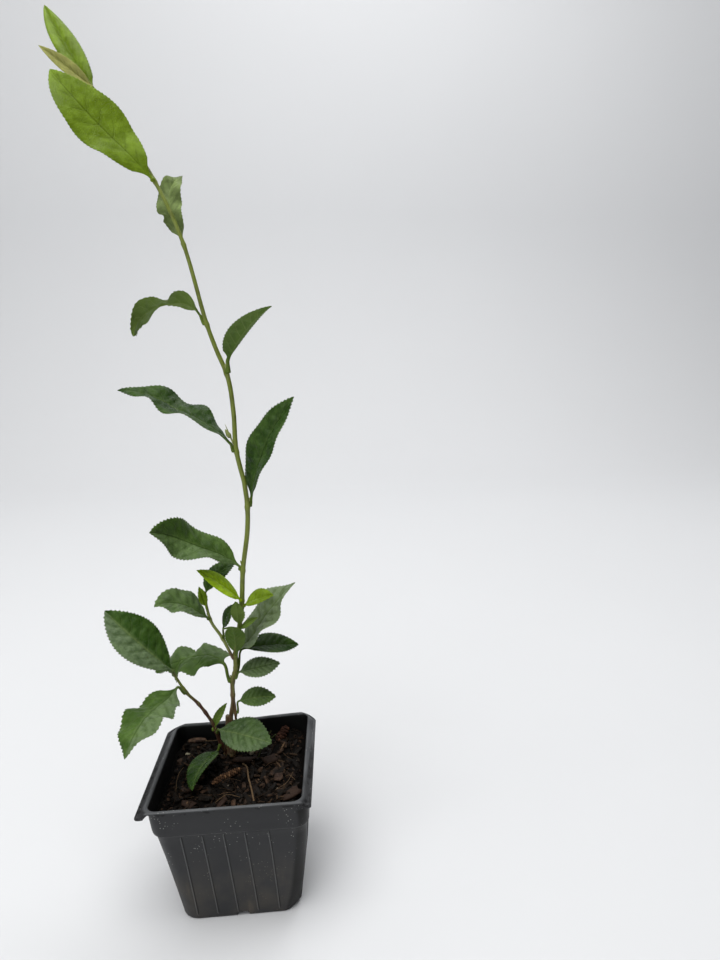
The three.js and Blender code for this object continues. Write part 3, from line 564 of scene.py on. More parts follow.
class Shape:
    """Points in millimetres and faces; a leaf's points also have a place on the blade, whether they lie on
    its lower face, and their share of painted sheen.
    """

    def __init__(self, points, faces, blade=None, under=None, bloom=None):
        self.points = np.asarray(points, float)
        self.faces = faces
        self.blade = blade
        self.under = under
        self.bloom = bloom


def join_shapes(shapes):
    """One shape that holds them all."""
    faces, start = [], 0
    for shape in shapes:
        faces += [tuple(i + start for i in face) for face in shape.faces]
        start += len(shape.points)
    columns = [None if shapes[0].blade is None else np.concatenate([getattr(s, key) for s in shapes])
               for key in ("blade", "under", "bloom")]
    return Shape(np.concatenate([s.points for s in shapes]), faces, *columns)


def loft_faces(rows, columns):
    """Quads between closed rings, and a fan at each end round a middle point added after the rings."""
    faces = []
    for i in range(rows - 1):
        for j in range(columns):
            a, b = i * columns + j, i * columns + (j + 1) % columns
            faces.append((a, b, b + columns, a + columns))
    last = (rows - 1) * columns
    for j in range(columns):
        k = (j + 1) % columns
        faces.append((k, j, rows * columns))
        faces.append((last + j, last + k, rows * columns + 1))
    return faces


def loft(rings):
    """A closed shape from rings with the same number of points, turned so that it faces outwards."""
    rings = np.asarray(rings, float)
    rows, columns = rings.shape[:2]
    points = np.concatenate([rings.reshape(-1, 3), rings[0].mean(0)[None], rings[-1].mean(0)[None]])
    faces = loft_faces(rows, columns)
    if volume(points, faces) < 0:
        faces = [face[::-1] for face in faces]
    return Shape(points, faces)


def volume(points, faces):
    """Six times the signed volume inside faces of three or four corners."""
    corners = np.array([(f[0], f[i], f[i + 1]) for f in faces for i in range(1, len(f) - 1)])
    a, b, c = (points[corners[:, k]] for k in range(3))
    return np.einsum("ij,ij->i", a, np.cross(b, c)).sum()


def placed(name, data):
    """An object of a mesh, light or camera, at the origin of the scene."""
    made = bpy.data.objects.new(name, data)
    bpy.context.scene.collection.objects.link(made)
    return made


def mesh_object(name, shape):
    """An object at the origin with the shape's points in its mesh."""
    mesh = bpy.data.meshes.new(name)
    mesh.from_pydata((shape.points * MM).tolist(), [], shape.faces)
    if shape.blade is not None:
        corners = np.empty(len(mesh.loops), int)
        mesh.loops.foreach_get("vertex_index", corners)
        layer = mesh.uv_layers.new(name="blade")
        layer.data.foreach_set("uv", shape.blade[corners].astype(np.float32).ravel())
        for label, values in (("under", shape.under), ("bloom", shape.bloom)):
            layer = mesh.attributes.new(label, "FLOAT", "POINT")
            layer.data.foreach_set("value", values.astype(np.float32))
    mesh.shade_smooth()
    return placed(name, mesh)


def line_object(name, points, edges):
    """An object of edges between points in millimetres."""
    mesh = bpy.data.meshes.new(name)
    mesh.from_pydata((np.array(points) * MM).tolist(), edges, [])
    return placed(name, mesh)


def finish_piece(piece, material, slot, *nodes):
    """Gives a piece its material and its place in the frame; the slot is not used."""
    piece.data.materials.clear()
    for m in (material if isinstance(material, list) else [material]):
        piece.data.materials.append(m)
    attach(piece, "root")
    if nodes:
        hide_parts(*nodes)


def rows_of(items, key):
    """What three numbers each item holds under a key."""
    values = np.empty(len(items) * 3)
    items.foreach_get(key, values)
    return values.reshape(-1, 3)


def bake_modifiers(piece):
    """Turns what the piece's modifiers make into its plain mesh."""
    graph = bpy.context.evaluated_depsgraph_get()
    mesh = bpy.data.meshes.new_from_object(piece.evaluated_get(graph), preserve_all_data_layers=True,
                                           depsgraph=graph)
    mesh.name = piece.name
    piece.modifiers.clear()
    piece.data = mesh
    return piece


def roughen(piece, height, scale):
    """Moves each point along its normal by a noise of a height in millimetres, scaled along each axis."""
    mesh = piece.data
    points, normals = rows_of(mesh.vertices, "co"), rows_of(mesh.vertex_normals, "vector")
    lifts = [noise.fractal(Vector(p / MM) * Vector(scale), 0.6, 2.2, 4) for p in points]
    points += normals * np.array(lifts)[:, None] * height * MM
    mesh.vertices.foreach_set("co", points.ravel())
    mesh.update()


# Node trees

class Nodes:
    """Adds nodes to a tree. Inputs are given as values or as other nodes' outputs."""

    def __init__(self, tree):
        self.tree = tree

    def add(self, kind, inputs=None, **settings):
        """A new node with its inputs fed and its settings made."""
        node = self.tree.nodes.new(kind)
        for name, value in settings.items():
            setattr(node, name, value)
        for key, value in (inputs or {}).items():
            self.feed(node.inputs[key], value)
        return node

    def output(self, kind, inputs=None, **settings):
        """What a new node gives first."""
        return self.add(kind, inputs, **settings).outputs[0]

    def feed(self, socket, value):
        if isinstance(value, bpy.types.NodeSocket):
            self.tree.links.new(value, socket)
        elif socket.type == "RGBA":
            socket.default_value = (*value[:3], 1)
        else:
            socket.default_value = value

    def math(self, operation, *values, clamp=False):
        inputs = dict(enumerate(values))
        return self.output("ShaderNodeMath", inputs, operation=operation, use_clamp=clamp)

    def times(self, a, b):
        return self.math("MULTIPLY", a, b)

    def plus(self, a, b):
        return self.math("ADD", a, b)

    def minus(self, a, b):
        return self.math("SUBTRACT", a, b)

    def vector(self, operation, *values):
        inputs = dict(enumerate(values))
        return self.output("ShaderNodeVectorMath", inputs, operation=operation)

    def parts(self, vector):
        """A vector's x, y and z."""
        return self.add("ShaderNodeSeparateXYZ", {0: vector}).outputs

    def combine(self, x=0.0, y=0.0, z=0.0):
        return self.output("ShaderNodeCombineXYZ", {0: x, 1: y, 2: z})

    def ramp(self, value, low, high, start=0.0, end=1.0):
        """start below low, end above high and a smooth slope between."""
        inputs = {"Value": value, "From Min": low, "From Max": high, "To Min": start, "To Max": end}
        return self.output("ShaderNodeMapRange", inputs, interpolation_type="SMOOTHSTEP")

    def mix(self, share, a, b):
        """A colour that goes from a to b as the share goes from 0 to 1."""
        return self.add("ShaderNodeMix", {0: share, 6: a, 7: b}, data_type="RGBA").outputs[2]

    def layered(self, base, *coats):
        """A colour with others laid over it one by one, each given as (share, colour)."""
        for share, colour in coats:
            base = self.mix(share, base, colour)
        return base

    def noise(self, place, scale, detail=3.0, roughness=0.55):
        inputs = {"Vector": place, "Scale": scale, "Detail": detail, "Roughness": roughness}
        return self.output("ShaderNodeTexNoise", inputs)

    def cells(self, place, scale, feature="F1"):
        inputs = {"Vector": place, "Scale": scale}
        return self.output("ShaderNodeTexVoronoi", inputs, feature=feature)


class Finish(Nodes):
    """A material's tree, with its Principled shader and the place on the object in metres."""

    def __init__(self, name):
        self.material = bpy.data.materials.new(name)
        self.material.use_nodes = True
        super().__init__(self.material.node_tree)
        self.shader = self.tree.nodes["Principled BSDF"]
        self.place = self.add("ShaderNodeTexCoord").outputs["Object"]

    def stretched(self, x, y, z):
        """The place with each axis stretched, for grain that runs along one of them."""
        return self.output("ShaderNodeMapping", {"Vector": self.place, "Scale": (x, y, z)})

    def height(self):
        """Height above the pot's foot, in millimetres."""
        return self.times(self.parts(self.place)[2], 1 / MM)

    def patchy(self, mask, scale, detail, low, high):
        """A mask broken into patches, which start where a noise passes low."""
        return self.times(mask, self.ramp(self.noise(self.place, scale, detail), low, high))

    def bump(self, height, depth, strength=1.0):
        """Relief that is depth millimetres deep where height goes from 0 to 1."""
        inputs = {"Strength": strength, "Distance": depth * MM, "Height": height}
        return self.output("ShaderNodeBump", inputs)

    def done(self, **sockets):
        """The material, with the named sockets of its shader fed."""
        names = {"colour": "Base Color", "roughness": "Roughness", "normal": "Normal",
                 "specular": "Specular IOR Level"}
        for key, value in sockets.items():
            self.feed(self.shader.inputs[names[key]], value)
        return self.material


def growing_tree(name, sockets):
    """A geometry tree with named inputs, given with their default, or as text with their type alone."""
    tree = bpy.data.node_groups.new(name, "GeometryNodeTree")
    tree.interface.new_socket("Geometry", in_out="INPUT", socket_type="NodeSocketGeometry")
    tree.interface.new_socket("Geometry", in_out="OUTPUT", socket_type="NodeSocketGeometry")
    for label, default in sockets.items():
        kind = default if isinstance(default, str) else {int: "Int", float: "Float"}[type(default)]
        socket = tree.interface.new_socket(label, in_out="INPUT", socket_type="NodeSocket" + kind)
        if kind != default:
            socket.default_value = default
    nodes = Nodes(tree)
    return nodes, nodes.add("NodeGroupInput").outputs


def close_tree(nodes, geometry, material, smooth_shading=True):
    """Ends a tree: real meshes out of instances, then shading and the material."""
    real = nodes.output("GeometryNodeRealizeInstances", {0: geometry})
    shaded = nodes.add("GeometryNodeSetShadeSmooth", {"Geometry": real, "Shade Smooth": smooth_shading})
    last = nodes.add("GeometryNodeSetMaterial", {"Geometry": shaded.outputs[0], "Material": material})
    nodes.tree.links.new(last.outputs[0], nodes.add("NodeGroupOutput").inputs[0])
    return nodes.tree


def grow(piece, tree, **values):
    """Runs a tree on a piece, with its inputs set by name, and keeps the mesh that comes out."""
    modifier = piece.modifiers.new("grow", "NODES")
    modifier.node_group = tree
    sockets = {s.name: s.identifier for s in tree.interface.items_tree if s.in_out == "INPUT"}
    for name, value in values.items():
        modifier[sockets[name.replace("_", " ").capitalize()]] = value
    return bake_modifiers(piece)


# Finishes

def plastic_finish(name, colours, highlit=0.0):
    """Charcoal moulded plastic with dried mix on it, painted shade inside and on its right side, dark patches
    under the rim and a painted rim highlight; the last argument makes it paler, a painted highlight.
    """
    f = Finish(name)
    z = f.height()
    facing = f.add("ShaderNodeNewGeometry").outputs["Normal"]
    outward = f.add("ShaderNodeVectorMath", {0: facing, 1: f.place}, operation="DOT_PRODUCT").outputs["Value"]
    outside = f.ramp(outward, -0.012, 0.0)
    cloud = f.noise(f.place, 28, 4)
    film = f.patchy(f.ramp(z, 55, 4), 60, 5, 0.3, 0.75)
    streak = f.ramp(f.noise(f.stretched(1, 1, 0.1), 240, 4), 0.52, 0.72)
    dust = f.plus(f.times(film, 0.3), f.times(f.times(streak, film), 0.35))
    ledge = f.patchy(f.ramp(f.math("ABSOLUTE", f.minus(z, LEDGE_HEIGHT)), 0.7, 0.2), 90, 3, 0.35, 0.6)
    speck = f.patchy(f.ramp(f.cells(f.place, 560), 0.2, 0.12), 70, 3, 0.49, 0.58)
    # Painted shade on the faces turned to the right, up to just below the rim
    right_shade = f.times(f.ramp(f.parts(facing)[0], 0.1, 0.38), f.ramp(z, *RIGHT_SHADE_ENDS))
    # Darker patches in a thin band just under the rim
    under_rim = f.patchy(f.times(f.ramp(z, *UNDER_RIM_STARTS), f.ramp(z, *UNDER_RIM_ENDS)), 260, 3, 0.5, 0.58)
    # Painted highlight along the rim's top
    edge = f.patchy(f.ramp(z, *EDGE_STARTS), 50, 2, 0.2, 0.6)
    base = f.mix(cloud, tinted(colours.pot, BLACK, 0.2), tinted(colours.pot, WHITE, 0.02))
    colour = f.layered(
        base, (highlit, RIB_HIGHLIGHT_GREY), (dust, colours.dust), (f.times(ledge, 0.3), LEDGE_DUST),
        (f.times(speck, 0.55), f.mix(f.ramp(z, 20, 60), colours.dust, DRY_SPECK)),
        (f.times(right_shade, 0.82), RIGHT_SIDE_SHADE), (f.times(under_rim, 0.85), UNDER_RIM_DARK), (f.times(edge, 0.15), EDGE_SHEEN))
    # The inside faces take painted shade
    colour = f.mix(outside, PAINTED_INSIDE_SHADE, colour)
    grain = f.noise(f.place, 1500, 3)
    scuff = f.noise(f.stretched(0.3, 0.3, 1.6), 210, 4)
    relief = f.plus(f.times(grain, 0.4), f.times(scuff, 0.6))
    rough = f.ramp(f.plus(cloud, dust), 0.3, 1.2, 0.46, 0.75)
    return f.done(colour=colour, roughness=rough, normal=f.bump(relief, 0.06, 0.7), specular=0.24)


def mix_finish(name, dark, pale, scale, roughness=0.9):
    """Bark mix: a dark and a pale tone in blotches, with grain, and few pieces that are pale all over."""
    f = Finish(name)
    blotch = f.noise(f.place, scale, 5, 0.65)
    island = f.add("ShaderNodeNewGeometry").outputs["Random Per Island"]
    share = f.times(f.ramp(blotch, 0.35, 0.72), f.plus(f.ramp(island, 0.5, 1.0), 0.06))
    grain = f.noise(f.stretched(1, 1, 0.3), scale * 6, 4)
    colour = f.mix(share, dark, pale)
    colour = f.mix(f.ramp(grain, 0.5, 0.8, 0, 0.5), colour, tinted(dark, BLACK, 0.5))
    return f.done(colour=colour, roughness=roughness, normal=f.bump(grain, 0.3), specular=0.1)


def stem_finish(name, foot, tip, low, high, streaks=0.35):
    """A stem's skin: one colour at its foot, another at its tip, with streaks that run along it, the pale
    ones partly painted highlight.
    """
    f = Finish(name)
    streak = f.noise(f.stretched(1, 1, 0.06), 900, 4)
    patch = f.noise(f.stretched(1, 1, 0.5), 260, 4)
    reach = f.plus(f.height(), f.times(f.minus(streak, 0.5), 1.6 * (high - low)))
    lightest = max(foot, tip, key=lambda colour: sum(colour[:3]))
    colour = f.layered(
        f.mix(f.ramp(reach, low, high), foot, tip),
        # Pale streaks, partly the skin's own and partly painted highlight
        (f.ramp(streak, 0.5, 0.68, 0, streaks), tinted(lightest, STREAK_HIGHLIGHT, 0.12)),
        (f.ramp(patch, 0.52, 0.36, 0, streaks), tinted(foot, BLACK, 0.6)))
    relief = f.plus(f.times(streak, 0.7), f.times(f.noise(f.place, 2500, 2), 0.3))
    return f.done(colour=colour, roughness=f.ramp(streak, 0.3, 0.8, 0.4, 0.6),
                  normal=f.bump(relief, 0.14, 0.9), specular=0.4)


def leaf_finish(name, colour, gloss, rib, young=False):
    """A tea leaf: midrib, side veins and net, mottled and waxy above with painted sheen, painted shade in its
    hollows and painted highlight beside the midrib, paler and matt below.

    rib is how pale the midrib is; below zero it is darker than the blade, painted shade in its groove.
    """
    f = Finish(name)
    deep = tinted(colour, BLACK, 0.55)
    u, v, _ = f.parts(f.output("ShaderNodeUVMap", uv_map="blade"))
    across = f.math("MULTIPLY_ADD", v, 2.0, -1.0)
    side = f.math("ABSOLUTE", across)
    bow = f.times(f.times(side, side), VEIN_BOW)
    forward = f.plus(f.times(side, VEIN_LEAN), bow)
    vein_place = f.times(f.minus(u, forward), VEIN_PAIRS)
    wobble = f.times(f.minus(f.noise(f.place, 240, 2), 0.5), 0.3)
    vein_gap = f.math("PINGPONG", f.plus(vein_place, wobble), 0.5)
    inside = f.times(f.ramp(side, 0.92, 0.6), f.ramp(u, 0.02, 0.1))
    if young:
        inside = f.times(inside, f.ramp(side, 0.75, 0.15))
    vein = f.times(f.ramp(vein_gap, 0.06, 0.015), inside)
    hollow_shade = f.times(f.ramp(vein_gap, 0.26, 0.02), inside)
    midrib = f.ramp(side, 0.05, 0.018)
    rib_edge_highlight = f.minus(f.ramp(side, 0.15, 0.05), midrib)
    margin = f.ramp(side, 0.965, 1.0)
    under, bloom = (f.add("ShaderNodeAttribute", attribute_name=label).outputs["Fac"]
                    for label in ("under", "bloom"))

    blotch = f.noise(f.place, 95, 4, 0.6)
    patch = f.noise(f.place, 230, 4, 0.6)
    fine = f.noise(f.place, 800, 3)

    def paler(share):
        return tinted(colour, VEIN_PALE, share)

    upper = f.layered(
        f.mix(f.ramp(blotch, 0.32, 0.68), tinted(colour, BLACK, 0.4), paler(0.12)),
        # Painted sheen, a grey reflection of the light above
        (f.times(bloom, f.ramp(patch, 0.25, 0.6, 0.7, 1.15)), SHEEN_GREY),
        (f.ramp(patch, 0.48, 0.66, 0, 0.5), tinted(colour, LEAF_SHADE, 0.45)),
        (f.ramp(fine, 0.5, 0.75, 0, 0.3), tinted(colour, LEAF_SHADE, 0.4)),
        # Painted shade in the quilting's hollows along the side veins
        (f.times(hollow_shade, 0.35), deep),
        (f.times(vein, 0.22), deep if young else paler(0.4)),
        # Painted highlight on the groove's edges beside the midrib, then the midrib: pale, or below zero
        # painted shade in its groove
        (f.times(rib_edge_highlight, 0.25), paler(0.3)),
        (f.times(midrib, abs(rib)), VEIN_PALE if rib > 0 else deep),
        (f.times(margin, 0.3), paler(0.5)))
    lower = f.mix(f.ramp(blotch, 0.3, 0.75), paler(0.2), paler(0.36))
    lower = f.mix(f.times(f.math("MAXIMUM", vein, midrib), 0.6), lower, paler(0.7))
    rust = f.patchy(f.ramp(f.cells(f.place, 260), 0.12, 0.07), 60, 2, 0.6, 0.66)
    tone = f.layered(
        f.mix(under, upper, lower),
        (f.times(f.ramp(u, 0.05, -0.01), 0.7), tinted(colour, PETIOLE_TONE, 0.5)),
        (f.times(rust, 0.0 if young else 0.7), RUST_SPOT))

    net = f.cells(f.place, 900, "DISTANCE_TO_EDGE")
    relief = f.plus(f.ramp(net, 0.0, 0.12), f.times(fine, 0.6))
    relief = f.minus(relief, f.times(vein, 1.2))
    mottle = f.plus(blotch, f.times(patch, 0.5))
    wax = f.ramp(mottle, 0.6, 0.95, gloss - 0.08, gloss + 0.14)
    rough = f.math("ADD", wax, f.times(under, 0.22), clamp=True)
    return f.done(colour=tone, roughness=rough, normal=f.bump(relief, 0.08, 0.9), specular=0.13)


def plain_finish(name, colour, roughness):
    """A quiet studio surface with barely any mottling."""
    f = Finish(name)
    cloud = f.noise(f.place, 3, 2)
    tone = f.mix(cloud, tinted(colour, BLACK, 0.02), tinted(colour, WHITE, 0.02))
    return f.done(colour=tone, roughness=roughness)


# Leaves

def turn_pair(a, b, angle):
    """Turns two axes towards each other by an angle."""
    c, s = math.cos(angle), math.sin(angle)
    return a * c + b * s, b * c - a * s


def bend_step(bend, u):
    """How much of a bend falls on a step: a number is spread evenly, a list gives each third its own."""
    total = 3 * bend[min(2, int(u * 3))] if isinstance(bend, list) else bend
    return math.radians(total) / BLADE_STEPS


def blade_axes(leaf):
    """The blade's axes where it starts: along it, to its left and out of its upper face."""
    along = compass(leaf["bearing"], leaf["rise"])
    left = compass(leaf["bearing"] + 90, 0)
    up = np.cross(along, left)
    left, up = turn_pair(left, up, math.radians(leaf.get("roll", 0)))
    return along, left, up


def blade_stations(leaf, base, axes):
    """Points and axes at even steps along the blade as it bends, swings and twists."""
    along, left, up = axes
    point = base
    rows = []
    for i in range(BLADE_STEPS + 1):
        u = i / BLADE_STEPS
        rows.append((point, left, up))
        along, up = turn_pair(along, up, -bend_step(leaf.get("droop", 0), u))
        along, left = turn_pair(along, left, bend_step(leaf.get("swing", 0), u))
        left, up = turn_pair(left, up, bend_step(leaf.get("twist", 0), u))
        point = point + along * leaf["length"] / BLADE_STEPS
    return [np.array(column) for column in zip(*rows)]


def between(rows, u):
    """Smooth values at u, 0 to 1, through evenly spaced rows."""
    knots = np.vstack([2 * rows[0] - rows[1], rows, 2 * rows[-1] - rows[-2]])
    place = np.clip(u * (len(rows) - 1), 0, len(rows) - 1 - 1e-9)
    i = place.astype(int)
    t = (place - i)[:, None]
    a, b, c, d = (knots[i + k] for k in range(4))
    return b + 0.5 * t * (c - a + t * (2 * a - 5 * b + 4 * c - d + t * (3 * (b - c) + d - a)))


def half_width(leaf, u):
    """Half the blade's width, widest at its belly."""
    power = math.log(0.5) / math.log(leaf.get("belly", 0.45))
    shape = np.maximum(0, np.sin(math.pi * u ** power)) ** MARGIN_POWER
    return np.maximum(TIP_HALF, leaf["width"] / 2 * shape)


def margin_wave(leaf, u, v):
    """Height of the margin's waves."""
    if not leaf.get("wave"):
        return 0
    phase = np.radians(np.where(v > 0, *leaf["phase"]))
    height = leaf["wave"] * np.abs(v) * np.sin(math.pi * u)
    return height * np.sin(2 * math.pi * leaf["waves"] * u + phase)


def bitten(leaf, u, v):
    """The share of the half width that is left where the margin is cut."""
    left = np.ones(np.broadcast(u, v).shape)
    for side, middle, reach, depth in leaf.get("bites", []):
        cut = np.exp(-((u - middle) / reach) ** 4) * (np.sign(v) == side)
        left = left * (1 - depth * cut)
    return left


def lobed(leaf, u, v):
    """How far one side of the base reaches back past the petiole."""
    side, reach = leaf.get("lobe", (1, 0))
    return reach * np.sin(math.pi * np.clip(u / 0.32, 0, 1)) ** 2 * np.maximum(side * v, 0) ** 1.5


def rumpled(leaf, x, y):
    """Uneven swells of a blade's surface, x and y millimetres along and across it."""
    a = 0.7 * leaf["bearing"] + leaf["length"]
    swell = np.sin(0.55 * x + 0.31 * y + a) * np.cos(0.24 * x - 0.6 * y + 2 * a)
    ripple = 0.5 * np.sin(1.25 * x - 0.8 * y + 3 * a) * np.cos(0.9 * y + 0.35 * x)
    return RUMPLE * leaf.get("rumple", 1) * (swell + ripple)


def blade_rings(leaf, base, axes, radius, sizes):
    """Rings round the blade, its upper face first, that start round on the petiole and end at the tip."""
    teeth = max(5, round(leaf["length"] * MM / sizes.tooth_pitch))
    u = np.linspace(0, 1, teeth * STEPS_PER_TOOTH + 1)
    point, left, up = (between(rows, u) for rows in blade_stations(leaf, base, axes))
    left = unit(left)
    up = unit(up - left * (up * left).sum(1, keepdims=True))
    along = np.cross(left, up)
    u, v = u[:, None], ACROSS[None, :]
    side = np.abs(v)

    half = half_width(leaf, u) * bitten(leaf, u, v)
    phase = (u * teeth + TOOTH_SHIFT * np.sign(v)) % 1
    saw = np.where(phase < TOOTH_PEAK, phase / TOOTH_PEAK, (1 - phase) / (1 - TOOTH_PEAK))
    uneven = 1 + TOOTH_UNEVEN * np.sin(2.7 * np.floor(u * teeth) + 4 * np.sign(v))
    small = min(1, leaf["width"] / FULL_WIDTH)
    sharp = small * leaf.get("teeth", 1)
    grown = smooth(*TEETH_BEGIN, u) * (1 - smooth(*TEETH_END, u)) * uneven * sharp
    tooth = sizes.tooth_height / MM * grown * (saw - 0.5) * side ** 12

    fold = math.radians(leaf.get("fold", 0))
    vein_place = (u - VEIN_LEAN * side - VEIN_BOW * side ** 2) * VEIN_PAIRS
    vein_gap = np.abs(vein_place - np.round(vein_place))
    body = np.sin(math.pi * np.clip(u, 0, 1)) ** 0.5 * small
    pillows = leaf.get("quilt", 1) * sizes.quilting / MM * smooth(0, VEIN_HALF, vein_gap)
    swell = pillows + rumpled(leaf, u * leaf["length"], half * v)
    quilt = swell * (1 - np.exp(-8 * side)) * (1 - side ** 4) * body
    midrib = np.exp(-(half * v / MIDRIB_HALF) ** 2) * (1 - MIDRIB_FADE * u)
    thick = sizes.blade_thickness / MM * (1 - 0.5 * side ** 3)
    curl = leaf.get("curl", MARGIN_CURL) * half * side ** 3
    middle = half * side * math.sin(fold) + margin_wave(leaf, u, v) - curl
    across = half * v * math.cos(fold) + np.sign(v) * tooth
    forward = TOOTH_LEAN * np.maximum(tooth, 0) - lobed(leaf, u, v)

    def face(lift):
        """The blade's points, lifted off its middle surface."""
        return (point[:, None] + left[:, None] * across[..., None] + up[:, None] * (middle + lift)[..., None]
                + along[:, None] * forward[..., None])
    top = face(quilt + thick / 2 - MIDRIB_GROOVE * midrib)
    bottom = face(quilt - thick / 2 - MIDRIB_KEEL * midrib)
    flat = np.concatenate([top, bottom[:, ::-1]], axis=1)
    round_rings = np.array([circle(p, a, b, radius) for p, a, b in zip(point, left, up)])
    share = np.minimum(1, u / BLADE_BLEND)[..., None]
    return u[:, 0], round_rings * (1 - share) + flat * share


def circle(centre, left, up, radius):
    """A ring with as many points as a blade's, its upper half first from right to left."""
    count = 2 * len(ACROSS)
    angle = math.pi - (np.arange(count) + 0.5) * 2 * math.pi / count
    return centre + radius * (np.cos(angle)[:, None] * left + np.sin(angle)[:, None] * up)


def petiole_rings(foot, out, base, axes, radius):
    """Rings from inside the stem's bark to the blade, wider where the petiole stands on the stem."""
    length = np.linalg.norm(base - foot)
    start = unit(0.3 * out + 0.7 * unit(base - foot))
    line = bezier(foot, foot + start * 0.35 * length, base - axes[0] * 0.3 * length, base)
    rings, places = [circle(foot - out * PETIOLE_SINK, *side_axes(out, axes[1]), radius * 1.5)], [-1.0]
    for i in range(PETIOLE_STEPS):
        share = i / PETIOLE_STEPS
        spread = 1 + PETIOLE_SPREAD * math.exp(-share * length / PETIOLE_SPREAD_LENGTH)
        rings.append(circle(line.at(share), *side_axes(line.tangent(share), axes[1]), radius * spread))
        places.append(share - 1)
    return np.array(places) * length, np.array(rings)


def side_axes(along, left):
    """Two axes square to a direction, the first as near as can be to the one given."""
    left = unit(left - along * left.dot(along))
    return left, np.cross(along, left)


def leaf_shape(leaf, foot, out, radius, sizes):
    """One closed shape for a petiole and its blade."""
    axes = blade_axes(leaf)
    base = foot + leaf["petiole"] * compass(leaf.get("seat", leaf["bearing"]), leaf["petiole_rise"])
    places, petiole = petiole_rings(foot, out, base, axes, radius)
    u, blade = blade_rings(leaf, base, axes, radius, sizes)
    shape = loft(np.concatenate([petiole, blade]))
    rows = np.concatenate([places / leaf["length"], u])
    columns = np.concatenate([ACROSS, ACROSS[::-1]]) * 0.5 + 0.5
    grid = np.stack(np.meshgrid(rows, columns, indexing="ij"), axis=-1).reshape(-1, 2)
    shape.blade = np.concatenate([grid, [[rows[0], 0.5], [1, 0.5]]])
    lower = np.repeat([0.0, 1.0], len(ACROSS))
    shape.under = np.concatenate([np.tile(lower, len(rows)), [0, 0]])
    # The painted sheen on the blade's right and left half
    right, left = leaf.get("bloom", (0, 0))
    bloom = np.interp(columns, [0.44, 0.5, 0.56], [right, (right + left) / 2, left])
    shape.bloom = np.concatenate([np.tile(bloom, len(rows)), [0, 0]])
    return shape


def random_numbers(seed):
    """Seeded numbers between 0 and 1, the same on every run."""
    state = seed
    while True:
        state = (state * 1664525 + 1013904223) % 4294967296
        yield state / 4294967296


def spray_stem(spray):
    """The short stem of a spray, and the radius at its shares."""
    seat = spray.get("seat", 180)
    foot, out = STEM_LINES[spray["stem"]].seat(spray.get("node"), seat)
    elbow = foot + spray["petiole"] * compass(seat, spray["petiole_rise"])
    tip = elbow + spray["reach"] * compass(seat, spray["lean"]) + [spray.get("aside", 0), 0, 0]
    curve = bezier(foot, foot + out * 0.4 * spray["petiole"], elbow, tip)
    path = [curve.at(share) for share in (0, 0.03, 0.3, 0.6, 1)]
    return Stem(path, [share * spray["radius"] for share in (1, 1, 0.95, 0.85, 0.7)]), out


def spray_leaves(spray, chance, sizes):
    """The leaves of a spray, turned a little by chance."""
    stem, _ = spray_stem(spray)
    shapes = []
    for leaf in spray["leaves"]:
        bearing = leaf["bearing"] + SPRAY_JITTER * (next(chance) - 0.5)
        grown = {"petiole": SPRAY_PETIOLE, "petiole_rise": leaf["rise"], **leaf, "bearing": bearing}
        radius = SPRAY_PETIOLE_RADIUS + leaf["length"] * SPRAY_PETIOLE_SHARE
        foot = stem.line.at(leaf["at"]) + leaf.get("shift", [0, 0, 0])
        shapes.append(leaf_shape(grown, foot, blade_axes(grown)[0], radius, sizes))
    return shapes


# Stems

def stem_tree():
    """Tubes along the input's lines, as thick as their points say, with fine relief in the bark."""
    nodes, given = growing_tree("stem_skin", {
        "Sides": 16, "Relief": 0.00008, "Grain": 900.0, "Material": "Material",
    })
    line = nodes.output("GeometryNodeMeshToCurve", {0: given["Geometry"]})
    thick = nodes.output("GeometryNodeInputNamedAttribute", {"Name": "thickness"}, data_type="FLOAT")
    ring = nodes.output("GeometryNodeCurvePrimitiveCircle", {"Resolution": given["Sides"], "Radius": 1.0})
    tube = nodes.output("GeometryNodeCurveToMesh", {0: line, 1: ring, "Scale": thick, "Fill Caps": True})
    place = nodes.vector("MULTIPLY", nodes.output("GeometryNodeInputPosition"), (1, 1, 0.25))
    bark = nodes.minus(nodes.noise(place, given["Grain"], 3), 0.5)
    lift = nodes.times(bark, given["Relief"])
    offset = nodes.vector("SCALE", nodes.output("GeometryNodeInputNormal"))
    nodes.feed(offset.node.inputs["Scale"], lift)
    moved = nodes.output("GeometryNodeSetPosition", {"Geometry": tube, "Offset": offset})
    return close_tree(nodes, moved, given["Material"])


def stem_lines(name, stems, flare=False):
    """A mesh of one edged line for each stem, with each point's thickness.

    A stem comes with its swollen joints' heights, how far its foot is sunk and its girth.
    """
    points, edges, thick = [], [], []
    for stem, joints, sink, girth in stems:
        steps = max(8, round(stem.line.length / STEM_STEP))
        start = len(points)
        points.append(stem.line.at(0) - stem.line.tangent(0) * sink)
        points += [stem.line.at(i / steps) for i in range(steps + 1)]
        for p in points[start:]:
            radius = stem.radius(p[2]) * girth
            radius += sum(JOINT_SWELL * math.exp(-((p[2] - z) / JOINT_HALF) ** 2) for z in joints)
            if flare:
                radius += ROOT_FLARE * math.exp(-(p[2] - stem.heights[0]) / ROOT_FLARE_HEIGHT)
            thick.append(radius * MM)
        edges += [(i, i + 1) for i in range(start, len(points) - 1)]
    made = line_object(name, points, edges)
    made.data.attributes.new("thickness", "FLOAT", "POINT").data.foreach_set("value", thick)
    return made


def joints_of(stem):
    """Heights of a stem's swollen joints, a little below where its petioles leave."""
    nodes = [leaf["node"] - JOINT_DROP for leaf in LEAVES + SPRAYS if leaf["stem"] == stem and "node" in leaf]
    return nodes + SCARS.get(stem, [])


